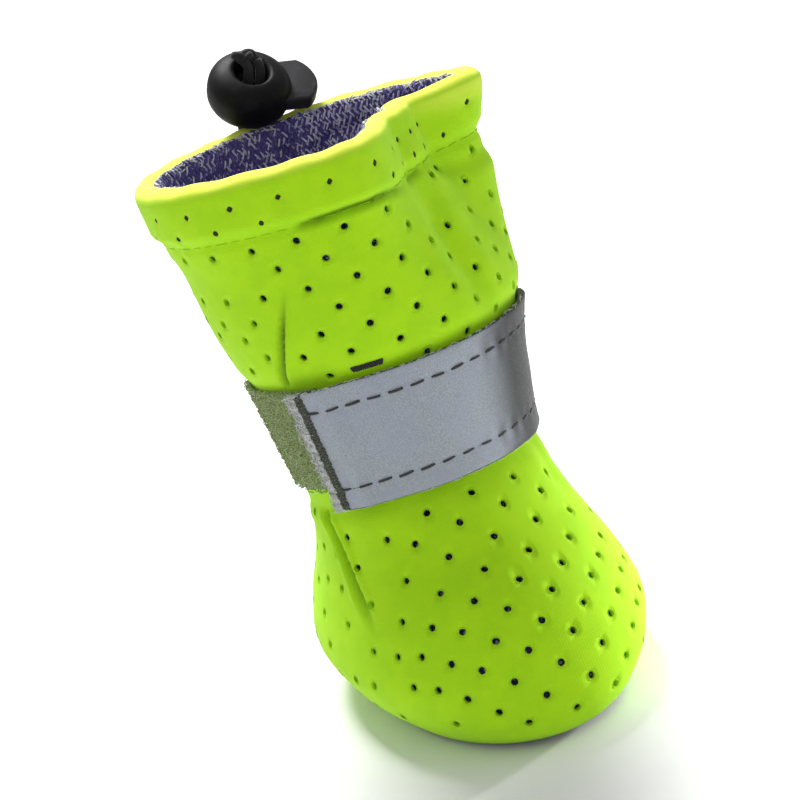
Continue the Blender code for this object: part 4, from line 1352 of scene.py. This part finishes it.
class DOGBOOT_OT_lining(bpy.types.Operator):
    """Makes the knit lining, which rolls up over the inner half of the rim, with its frayed edge"""
    bl_idname = "dogboot.lining"
    bl_label = "Lining"

    def execute(self, context):
        p = context.scene.dog_boot_fabric
        chance = random.Random(context.scene.dog_boot_stage.seed + 1)
        columns, rows = 190, 120
        low = EDGE_RISE + WALL + 0.4 * MM
        points, uvs = [], []
        for i in range(rows):
            station = low + (LINING_TOP - low) * i / (rows - 1)
            for j in range(columns):
                t = 2 * math.pi * j / columns - math.pi
                points.append(self.at(t, station))
                uvs.append((t * LINING_RADIUS, station))
        dark, light = p.lining, p.lining_light
        knit = knit_lining(dark, light)
        piece = mesh_piece("lining_knit", points, tube_faces(rows, columns), knit, uvs)
        thicken(piece, 0.4 * MM, 1.0)
        keep("lining_knit", "boot")

        stitches, pale, bright = [], [], []
        step_up, step_round = 0.90 * MM, 1.0 * MM
        station, odd = LINING_TOP - YARN_DEPTH, 0
        while station < LINING_TOP - 0.5 * MM:
            around_length = sum(
                (self.at(math.radians(d + 2), station) - self.at(math.radians(d), station)).length
                for d in range(0, 360, 2))
            count = round(around_length / step_round)
            for j in range(count):
                t = 2 * math.pi * (j + 0.5 * (odd % 2)) / count - math.pi
                here, around, up, into = self.frame(t + chance.uniform(-0.004, 0.004), station)
                lean = 0.5 if odd % 2 else -0.5
                spot = Spot(here + into * 0.03 * MM, into, (up + around * lean).normalized())
                light_patch = math.exp(-((math.degrees(t) - PALE_TURN) / PALE_SPREAD) ** 2)
                share = 0.34 + 0.34 * light_patch + 0.10 * math.sin(t * 14.0)
                yarns = bright if chance.random() < share else stitches
                if yarns is stitches and chance.random() < 0.85 * light_patch:
                    yarns = pale
                yarns.append(spot)
            station += step_up
            odd += 1
        sizes = dict(Length=1.20 * MM, Height=0.15 * MM, Thickness=0.40 * MM, Size_jitter=0.12,
                     Turn_jitter=0.10)
        violet = yarn("violet yarn", dark, tinted(dark, 1.7), 0.45)
        repeated("lining_stitches", "lining", stitches, "arch", violet, **sizes)
        lilac = tuple(0.62 * a + 0.38 * b for a, b in zip(dark, light))
        repeated("lining_pale_stitches", "lining", pale, "arch",
                 yarn("lilac yarn", lilac, tinted(lilac, 1.5), 0.55), **sizes)
        sizes["Thickness"] = 0.30 * MM
        repeated("lining_white_dashes", "lining", bright, "arch",
                 yarn("white yarn", tinted(light, 0.45), light, 0.6), **sizes)

        frays = []
        for j in range(460):
            station = LINING_TOP - abs(chance.gauss(0.0, 0.35)) * MM
            here, around, up, into = self.frame(chance.uniform(-math.pi, math.pi), station)
            along = (up * chance.uniform(-0.5, 0.5) + around * chance.choice((-1, 1))).normalized()
            frays.append(Spot(here + into * 0.05 * MM, into, along))
        white = fibre("white frayed yarn", (0.66, 0.68, 0.62))
        repeated("lining_fray", "lining", frays, "arch", white, Length=0.95 * MM, Height=0.16 * MM,
                 Thickness=0.15 * MM, Size_jitter=0.45, Turn_jitter=0.5)
        return {"FINISHED"}

    def at(self, turn, station):
        """A point of the lining's inner face; past the cap it follows the rim's inner half."""
        rumple = 0.16 * MM * math.sin(turn * 9.0 + station * 300.0)
        rumple *= math.sin(turn * 4.0 - station * 500.0)
        rise = 0.35 * MM * smooth((station - CAP_STATION + 3.4 * MM) / (1.8 * MM))
        if station <= CAP_STATION:
            return place(turn, station, inside(turn, station) + 0.1 * MM - rise
                         + (rumple - self.crease(turn, station)) * (1.0 - rise / (0.35 * MM)))
        out, into = outside(turn, CAP_STATION), inside(turn, CAP_STATION)
        angle = math.pi - (station - CAP_STATION) / (HEM_WALL / 2)
        radius = (out + into) / 2 + ((out - into) / 2 + 0.25 * MM) * math.cos(angle)
        lift = (HEM_WALL / 2 + 0.25 * MM) * math.sin(angle) + rim_ruck(turn, angle)
        return place(turn, CAP_STATION, radius, lift)

    def crease(self, turn, station):
        """The lining's one deep fold at the back, in metres inwards."""
        across = from_line(turn, station, LINING_FOLD)[0] / 1.5
        return 1.5 * MM * (math.exp(-across * across) - 0.6 * math.exp(-(across - 1.9) ** 2))

    def frame(self, turn, station):
        """A point of the lining with its three directions."""
        here = self.at(turn, station)
        around = (self.at(turn + 0.01, station) - here).normalized()
        up = (self.at(turn, station + 0.1 * MM) - self.at(turn, station - 0.1 * MM)).normalized()
        return here, around, up, -around.cross(up).normalized()


class DOGBOOT_OT_seams(bpy.types.Operator):
    """Makes the hem's stitch line and the dark bar tack over the strap"""
    bl_idname = "dogboot.seams"
    bl_label = "Hem stitches and bar tack"

    def execute(self, context):
        fabric, trim = context.scene.dog_boot_fabric, context.scene.dog_boot_trim
        hem = []
        step = 2.6 * MM
        turn = -math.pi
        while turn < math.pi:
            hem.append(skin_spot(turn, HEM_STATION, 0.02 * MM))
            turn += step / skin_frame(turn, HEM_STATION)[0].length
        shade = tinted(fabric.lime, 0.80, 0.84, 0.8)
        repeated("hem_stitches", "lime fabric", hem, "arch", lime_cloth(shade, "lime thread"),
                 Length=2.0 * MM, Height=0.08 * MM, Thickness=0.24 * MM, Size_jitter=0.10,
                 Turn_jitter=0.08)

        tack = []
        count = 26
        for k in range(count):
            t = math.radians(TACK_FROM + (TACK_TO - TACK_FROM) * k / (count - 1))
            around, up, out = skin_frame(t, TACK_STATION)
            along = (up.normalized() + around.normalized() * (0.22 if k % 2 else -0.22)).normalized()
            tack.append(Spot(skin(t, TACK_STATION) + out * 0.08 * MM, out, along))
        repeated("bar_tack", "lime fabric", tack, "arch",
                 fibre("black thread", trim.black, 0.8, 0.1), Length=1.05 * MM, Height=0.16 * MM,
                 Thickness=0.34 * MM, Size_jitter=0.08, Turn_jitter=0.1)
        return {"FINISHED"}


def strap_stand_off(turn):
    """The strap lies on the upper, and on the loop tape at both of its ends."""
    over = TAPE_THICKNESS + GAP
    ramp = math.radians(12)
    at_free = smooth((turn - TAPE_FROM + ramp) / (ramp - STRAP_STEP / 2))
    at_sewn = 1.0 - smooth((turn - (TAPE_TO - 2 * math.pi) - STRAP_STEP / 2) / ramp)
    return GAP + over * max(at_free, at_sewn)


def strap_point(turn, across, out):
    """A point of the strap: across from its middle line, and out from its under side."""
    edge = abs(across) / (STRAP_WIDTH / 2)
    wave = 0.10 * MM * math.sin(turn * 13.0 + across * 300.0) * edge ** 4
    inset = (STRAP_WIDTH / 2 - abs(across)) / MM
    if out > STRAP_THICKNESS / 2:
        row = math.exp(-((inset - 3.4) / 0.45) ** 2)
        wave -= 0.16 * MM * row
        wave += 0.07 * MM * math.sin(turn * 38.0) * math.exp(-((inset - 3.4) / 1.6) ** 2)
    station = STRAP_STATION + across
    return place(turn, station, reach(turn, station) + strap_stand_off(turn) + out + wave)


def strap_frame(turn, across, out):
    """Directions on the strap's face: around, up and outwards."""
    around = (strap_point(turn + 0.01, across, out) - strap_point(turn - 0.01, across, out)) / 0.02
    up = strap_point(turn, across + 0.2 * MM, out) - strap_point(turn, across - 0.2 * MM, out)
    up.normalize()
    return around, up, around.cross(up).normalized()


def strap_row(across, first, last, step, height):
    """Spots in a row along the strap's face, each with its turn; first and last in degrees."""
    turn, row = STRAP_FROM + math.radians(first), []
    while turn < STRAP_TO - math.radians(last):
        around, up, out = strap_frame(turn, across, STRAP_THICKNESS)
        here = strap_point(turn, across, STRAP_THICKNESS) + out * height
        row.append((turn, Spot(here, out, around.normalized())))
        turn += step / around.length
    return row


class DOGBOOT_OT_strap(bpy.types.Operator):
    """Makes the reflective strap with its stitch rows, sewn end and frayed edge"""
    bl_idname = "dogboot.strap"
    bl_label = "Reflective strap"

    def execute(self, context):
        p = context.scene.dog_boot_trim
        chance = random.Random(context.scene.dog_boot_stage.seed + 2)
        half, thick = STRAP_WIDTH / 2, STRAP_THICKNESS
        ease = 0.28 * MM
        face = [-half + ease + (STRAP_WIDTH - 2 * ease) * k / 28 for k in range(29)]
        section = [(a, thick) for a in face]
        section += [(half - ease * 0.3, thick - ease * 0.3), (half, thick - ease), (half, ease)]
        section += [(half - ease, 0.0), (0.0, 0.0), (-half + ease, 0.0), (-half, ease)]
        section += [(-half, thick - ease), (-half + ease * 0.3, thick - ease * 0.3)]
        loops = []
        pieces = 96
        for i in range(pieces + 1):
            t = STRAP_FROM + (STRAP_TO - STRAP_FROM) * i / pieces
            end = min(i, pieces - i)
            swell = 0.16 * MM * math.exp(-(end / 2.0) ** 2) if i < pieces / 2 else 0.0
            thin = (0.55, 0.85)[end] if end < 2 else 1.0
            loops.append([strap_point(t, a, thick / 2 + (o - thick / 2) * thin + (swell if o > 0 else 0))
                          for a, o in section])
        points = [q for loop in loops for q in loop]
        faces = tube_faces(pieces + 1, len(section), "capped")
        uvs = []
        for i in range(pieces + 1):
            t = STRAP_FROM + (STRAP_TO - STRAP_FROM) * i / pieces
            uvs += [(t * BAND_RADIUS, a) for a, o in section]
        piece = turn_outwards(mesh_piece("strap_tape", points, faces, silver_tape(p.silver), uvs))
        piece.data.shade_smooth()
        keep("strap_tape", "boot", ["strap"])

        rows, pale_rows, lines = [], [], []
        for side in (-1, 1):
            across = side * (half - p.stitch_inset)
            for turn, spot in strap_row(across, 9.5, 3.0, p.stitch_step, 0.03 * MM):
                # Stitches on the strap's far end are whitish grey.
                (pale_rows if turn > math.radians(WHITISH_FROM) else rows).append(spot)
            lines += [spot for turn, spot in strap_row(across, 8.0, 2.0, 1.3 * MM, -0.05 * MM)]
        dark = fibre("dark strap thread", p.thread, 0.75)
        repeated("strap_stitches", "reflective tape", rows, "arch", dark, Length=p.stitch,
                 Height=0.20 * MM, Thickness=0.46 * MM, Size_jitter=0.12, Turn_jitter=0.12)
        repeated("strap_stitches_far", "reflective tape", pale_rows, "arch",
                 fibre("whitish thread", (0.20, 0.19, 0.18)), Length=p.stitch, Height=0.20 * MM,
                 Thickness=0.42 * MM, Size_jitter=0.12, Turn_jitter=0.12)

        # A thin dark line along each stitch groove: painted shade of the groove.
        repeated("strap_stitch_grooves", "reflective tape", lines, "arch",
                 fibre("groove shade line", (0.10, 0.10, 0.11)), Length=1.5 * MM, Height=0.04 * MM,
                 Thickness=0.20 * MM, Size_jitter=0.1, Turn_jitter=0.05)

        tack = []
        count = 74
        base = STRAP_FROM + math.radians(6.4)
        for k in range(count):
            across = -half + 0.5 * MM + (STRAP_WIDTH - 1.0 * MM) * k / (count - 1)
            for lane in (-1, 1):
                t = base + lane * math.radians(0.75) + chance.uniform(-0.004, 0.004)
                around, up, out = strap_frame(t, across, thick)
                along = (around.normalized() + up * (0.9 if k % 2 else -0.9)).normalized()
                tack.append(Spot(strap_point(t, across, thick) + out * 0.08 * MM, out, along))
        olive = fibre("dark olive thread", (0.052, 0.062, 0.040), 0.8)
        repeated("strap_bar_tack", "reflective tape", tack, "arch", olive, Length=0.95 * MM,
                 Height=0.20 * MM, Thickness=0.30 * MM, Size_jitter=0.2, Turn_jitter=0.2)

        frays = []
        for k in range(520):
            across = chance.uniform(-half, half)
            t = STRAP_FROM + math.radians(chance.uniform(-0.6, 5.0))
            depth = thick * chance.uniform(0.5, 1.12)
            around, up, out = strap_frame(t, across, thick)
            along = around.normalized() * chance.uniform(0.3, 1.0) + up * chance.uniform(-1, 1)
            frays.append(Spot(strap_point(t, across, depth) + out * 0.05 * MM, out, along.normalized()))
        for side in (-1, 1):
            for k in range(150):
                t = chance.uniform(STRAP_FROM, STRAP_TO)
                across = side * half * chance.uniform(0.99, 1.0)
                around, up, out = strap_frame(t, across, thick)
                along = (around.normalized() + up * chance.uniform(-0.5, 0.5)).normalized()
                frays.append(Spot(strap_point(t, across, thick * chance.uniform(0.3, 0.9)),
                                  up * side, along))
        grey = fibre("pale frayed fibres", (0.50, 0.51, 0.50))
        repeated("strap_fray", "reflective tape", frays, "arch", grey, Length=0.9 * MM,
                 Height=0.16 * MM, Thickness=0.11 * MM, Size_jitter=0.45, Turn_jitter=0.4)
        return {"FINISHED"}


class DOGBOOT_OT_loop_tape(bpy.types.Operator):
    """Makes the fuzzy loop tape round the back of the ankle"""
    bl_idname = "dogboot.loop_tape"
    bl_label = "Loop tape"

    def execute(self, context):
        p = context.scene.dog_boot_trim
        chance = random.Random(context.scene.dog_boot_stage.seed + 3)
        half, thick = TAPE_WIDTH / 2, TAPE_THICKNESS * 0.6
        section = [(-half + TAPE_WIDTH * k / 20, thick) for k in range(21)]
        section += [(half, 0.0), (0.0, 0.0), (-half, 0.0)]
        pieces = 110
        points, uvs = [], []
        for i in range(pieces + 1):
            t = TAPE_FROM + (TAPE_TO - TAPE_FROM) * i / pieces
            points += [self.at(t, a, o) for a, o in section]
            uvs += [(t * BAND_RADIUS, a) for a, o in section]
        faces = tube_faces(pieces + 1, len(section), "capped")
        base = fibre("loop tape ground", tinted(p.loops, 0.8))
        piece = turn_outwards(mesh_piece("loop_tape_ground", points, faces, base, uvs))
        piece.data.shade_smooth()
        keep("loop_tape_ground", "boot", ["loop_tape"])

        loops = []
        around_length = (TAPE_TO - TAPE_FROM) * PILE_RADIUS
        columns, rows = round(around_length / p.pile_step), round(TAPE_WIDTH / p.pile_step)
        for i in range(columns):
            for j in range(rows + 1):
                t = TAPE_FROM + (TAPE_TO - TAPE_FROM) * (i + chance.uniform(-0.4, 0.4)) / columns
                if STRAP_FROM + 2 * math.pi + 0.03 < t:
                    continue
                if t < STRAP_TO - 0.02:
                    continue
                a = -half + TAPE_WIDTH * (j + chance.uniform(-0.4, 0.4)) / rows
                around = (self.at(t + 0.01, a, thick) - self.at(t - 0.01, a, thick)).normalized()
                up = (self.at(t, a + 0.2 * MM, thick) - self.at(t, a - 0.2 * MM, thick)).normalized()
                out = around.cross(up).normalized()
                swing = chance.uniform(-math.pi, math.pi)
                tilt = (out + (around * math.cos(swing) + up * math.sin(swing)) * 0.55).normalized()
                loops.append(Spot(self.at(t, a, thick), tilt, around))
        pile = fibre("grey green pile", p.loops, 1.0, 0.5)
        repeated("loop_tape_pile", "loop tape", loops, "arch", pile, Length=0.85 * MM,
                 Height=p.pile * 0.55, Thickness=0.13 * MM, Size_jitter=0.35, Turn_jitter=3.0)
        return {"FINISHED"}

    def at(self, turn, across, out):
        """A point of the loop tape."""
        station = TAPE_STATION + across
        return place(turn, station, reach(turn, station) + GAP + out)


def sole_outline(inset, count):
    """The sole's edge, from the upper's lower edge."""
    centre_y = ring_at(EDGE_RISE).y
    line = []
    for j in range(count):
        t = 2 * math.pi * j / count
        line.append((t, reach(t, EDGE_RISE) - inset, centre_y))
    return line


def plate(profile, inset, count=120):
    """Points, faces and UVs of a flat piece: rows of (share of radius, tuck, height)."""
    points, uvs = [], []
    for share, tuck, z in profile:
        for t, r, centre_y in sole_outline(inset, count):
            radius = share * (r - tuck)
            y = centre_y - radius * math.cos(t)
            x = radius * math.sin(t)
            points.append(Vector((x, y, z + toe_lift(y, z))))
            uvs.append((x, y))
    faces = tube_faces(len(profile), count)
    centre_y = ring_at(EDGE_RISE).y
    for first, z in ((0, profile[0][2]), ((len(profile) - 1) * count, profile[-1][2])):
        hub = len(points)
        points.append(Vector((0.0, centre_y, z)))
        uvs.append((0.0, centre_y))
        faces += [(first + j, first + (j + 1) % count, hub) for j in range(count)]
    return points, faces, uvs


class DOGBOOT_OT_sole(bpy.types.Operator):
    """Makes the grip sole with its dots and seam, and the insole"""
    bl_idname = "dogboot.sole"
    bl_label = "Sole and insole"

    def execute(self, context):
        p = context.scene.dog_boot_trim
        lift, rounding = 0.25 * MM, SOLE_ROUNDING
        profile = [(s, 0.0, lift) for s in (0.25, 0.5, 0.75, 0.9)]
        for k in range(7):
            a = math.pi / 2 * k / 6
            profile.append((1.0, rounding * (1.0 - math.sin(a)), lift + rounding * (1.0 - math.cos(a))))
        profile += [(1.0, 0.0, SOLE_THICKNESS - 0.2 * MM), (1.0, 0.2 * MM, SOLE_THICKNESS)]
        profile += [(s, 0.0, SOLE_THICKNESS) for s in (0.9, 0.6, 0.3)]
        rubber = grip_rubber((0.034, 0.035, 0.038))
        points, faces, uvs = plate(profile, GAP)
        turn_outwards(mesh_piece("grip_sole", points, faces, rubber, uvs))
        keep("grip_sole", "boot", ["sole"])

        dots = []
        step = p.dots
        centre_y = ring_at(EDGE_RISE).y
        for i in range(-9, 10):
            for j in range(-16, 17):
                x, y = i * step + (step / 2 if j % 2 else 0.0), centre_y + j * step * 0.87
                t = math.atan2(x, centre_y - y)
                if math.hypot(x, centre_y - y) > reach(t, EDGE_RISE) - 3.4 * MM:
                    continue
                here = Vector((x, y, lift + toe_lift(y, 0.0)))
                dots.append(Spot(here, Vector((0, 0, -1)), Vector((1, 0, 0))))
        repeated("grip_dots", "sole rubber", dots, "dot", rubber, Length=1.5 * MM, Height=lift,
                 Size_jitter=0.0, Turn_jitter=0.0)

        seam = []
        for t, r, centre_y in sole_outline(2.0 * MM, 62):
            here = Vector((r * math.sin(t), centre_y - r * math.cos(t), lift))
            here.z += toe_lift(here.y, 0.0)
            seam.append(Spot(here + Vector((0, 0, 0.05 * MM)), Vector((0, 0, -1)),
                             Vector((math.cos(t), math.sin(t), 0))))
        repeated("sole_stitches", "sole rubber", seam, "arch",
                 fibre("charcoal thread", (0.09, 0.09, 0.10)), Length=1.9 * MM, Height=0.12 * MM,
                 Thickness=0.26 * MM, Size_jitter=0.08, Turn_jitter=0.06)

        low = SOLE_THICKNESS + GAP
        high = low + INSOLE_THICKNESS
        soft = [(s, 0.0, low) for s in (0.3, 0.7, 0.95)]
        soft += [(1.0, 0.0, low + 0.3 * MM), (1.0, 0.0, high - 0.5 * MM)]
        soft += [(1.0, 0.15 * MM, high - 0.15 * MM), (1.0, 0.5 * MM, high)]
        soft += [(s, 0.0, high) for s in (0.95, 0.8, 0.6, 0.3)]
        fabric = context.scene.dog_boot_fabric
        points, faces, uvs = plate(soft, GAP)
        liner = fibre("violet insole knit", tinted(fabric.lining, 0.9))
        turn_outwards(mesh_piece("insole_liner", points, faces, liner, uvs))
        keep("insole_liner", "boot", ["insole"])
        return {"FINISHED"}


def slot_block(back, front, width, height, square_front, bow=0.62):
    """A closed block with a round back end, and a round or square front end."""
    half = width / 2
    outline = []
    for i in range(25):
        a = math.pi / 2 + math.pi * i / 24
        outline.append((back + half + half * math.cos(a), half * math.sin(a)))
    if square_front:
        outline += [(front, -half), (front, half)]
    else:
        radius = width * bow
        swing = math.asin(half / radius)
        for i in range(21):
            a = -swing + 2 * swing * i / 20
            outline.append((front - radius + radius * math.cos(a), radius * math.sin(a)))
    points = [Vector((x, y, z)) for z in (-height / 2, height / 2) for x, y in outline]
    return points, tube_faces(2, len(outline), "capped")


def bite(piece, name, points, faces):
    """Cuts a block out of a piece, and removes the block."""
    cutter = turn_outwards(mesh_piece(name, points, faces, piece.data.materials[0]))
    cut = piece.modifiers.new(name, "BOOLEAN")
    cut.operation = "DIFFERENCE"
    cut.solver = "EXACT"
    cut.object = cutter
    applied(piece)
    bpy.data.objects.remove(cutter)


class DOGBOOT_OT_cord_lock(bpy.types.Operator):
    """Makes the ball-shaped cord lock and its spring plunger"""
    bl_idname = "dogboot.cord_lock"
    bl_label = "Cord lock"

    def execute(self, context):
        p = context.scene.dog_boot_trim
        # One black plastic: the button is tinted four times lighter than the ball, a painted highlight
        # for its lit top.
        plastic = moulded_plastic("matt black moulding", tinted(p.black, 0.5), 0.13)
        rubbed_and_lit = moulded_plastic("rubbed black moulding", tinted(p.black, 2.0), 0.24)
        lock = lock_matrix()
        radius, half, hole = LOCK_DIAMETER / 2, LOCK_THICKNESS / 2, LOCK_HOLE / 2
        lip = LOCK_LIP / 2
        low = math.asin(((hole + lip) / radius) ** (LOCK_SQUARE / 2))
        profile = []
        steps = 34
        for k in range(steps + 1):
            a = low + (math.pi - 2 * low) * k / steps
            r = radius * abs(math.sin(a)) ** (2 / LOCK_SQUARE)
            z = math.copysign(half * abs(math.cos(a)) ** (2 / LOCK_SQUARE), math.cos(a))
            profile.append((r, z))
        edge = profile[-1]
        for k in range(1, 7):
            a = math.pi / 2 * k / 6
            profile.append((edge[0] - lip * math.sin(a), edge[1] + lip * (1 - math.cos(a)) * 1.1))
        top = profile[0]
        start, wall = edge[1] + lip * 1.1, top[1] - edge[1] - 2.2 * lip
        profile += [(hole, start + wall * k / 8) for k in range(1, 8)]
        for k in range(6, 0, -1):
            a = math.pi / 2 * k / 6
            profile.append((top[0] - lip * math.sin(a), top[1] - lip * (1 - math.cos(a)) * 1.1))
        sides = 96
        turns = [2 * math.pi * j / sides for j in range(sides)]
        points = [Vector((r * math.cos(t), r * math.sin(t), z)) for r, z in profile for t in turns]
        faces = tube_faces(len(profile), sides, "joined")
        ball = turn_outwards(mesh_piece("cord_lock_ball", points, faces, plastic))
        slot_back = STRAND_INNER - CORD_DIAMETER / 2 - CORD_CLEARANCE
        back = slot_back - PLUNGER_HEEL
        pocket = slot_block(back - PLUNGER_TRAVEL - PLUNGER_CLEARANCE, LOCK_DIAMETER,
                            PLUNGER_WIDTH + 2 * PLUNGER_CLEARANCE,
                            PLUNGER_THICKNESS + 2 * PLUNGER_CLEARANCE, True)
        bite(ball, "plunger pocket", *pocket)
        ball.data.transform(lock)
        ball.data.set_sharp_from_angle(angle=math.radians(38))
        keep("cord_lock_ball", "boot", ["cord_lock_body"])

        paddle = slot_block(back, PLUNGER_REACH, PLUNGER_WIDTH, PLUNGER_THICKNESS, False)
        plunger = turn_outwards(mesh_piece("cord_lock_button", *paddle, rubbed_and_lit))
        slot_front = hole + PLUNGER_TRAVEL
        slot = slot_block(slot_back, slot_front, LOCK_HOLE - 2 * CORD_CLEARANCE,
                          2 * PLUNGER_THICKNESS, True)
        bite(plunger, "cord slot", *slot)
        soft = plunger.modifiers.new("eased edges", "BEVEL")
        soft.width = 0.55 * MM
        soft.segments = 4
        soft.limit_method = "ANGLE"
        soft.angle_limit = math.radians(60)
        applied(plunger)
        plunger.data.shade_smooth()
        plunger.data.set_sharp_from_angle(angle=math.radians(50))
        plunger.data.transform(lock)
        keep("cord_lock_button", "plunger", ["cord_lock_plunger"])
        return {"FINISHED"}


class DOGBOOT_PT_panel(bpy.types.Panel):
    """Lists the boot's pieces in the sidebar"""
    bl_idname = "DOGBOOT_PT_panel"
    bl_label = "Dog Boot"
    bl_space_type = "VIEW_3D"
    bl_region_type = "UI"
    bl_category = "Dog Boot"

    def draw(self, context):
        for operator in OPERATORS:
            self.layout.operator(operator.bl_idname)


OPERATORS = (
    DOGBOOT_OT_stage,
    DOGBOOT_OT_drawcord,
    DOGBOOT_OT_upper,
    DOGBOOT_OT_lining,
    DOGBOOT_OT_seams,
    DOGBOOT_OT_strap,
    DOGBOOT_OT_loop_tape,
    DOGBOOT_OT_sole,
    DOGBOOT_OT_cord_lock,
)
GROUPS = (
    ("dog_boot_fabric", DogBootFabric),
    ("dog_boot_trim", DogBootTrim),
    ("dog_boot_stage", DogBootStage),
)


def register():
    for name, group in GROUPS:
        bpy.utils.register_class(group)
        setattr(bpy.types.Scene, name, PointerProperty(type=group))
    for item in (*OPERATORS, DOGBOOT_PT_panel):
        bpy.utils.register_class(item)


def unregister():
    for item in reversed((*OPERATORS, DOGBOOT_PT_panel)):
        bpy.utils.unregister_class(item)
    for name, group in reversed(GROUPS):
        delattr(bpy.types.Scene, name)
        bpy.utils.unregister_class(group)


def main():
    register()
    for operator in OPERATORS:
        section, name = operator.bl_idname.split(".")
        getattr(getattr(bpy.ops, section), name)()


if __name__ == "__main__":
    main()
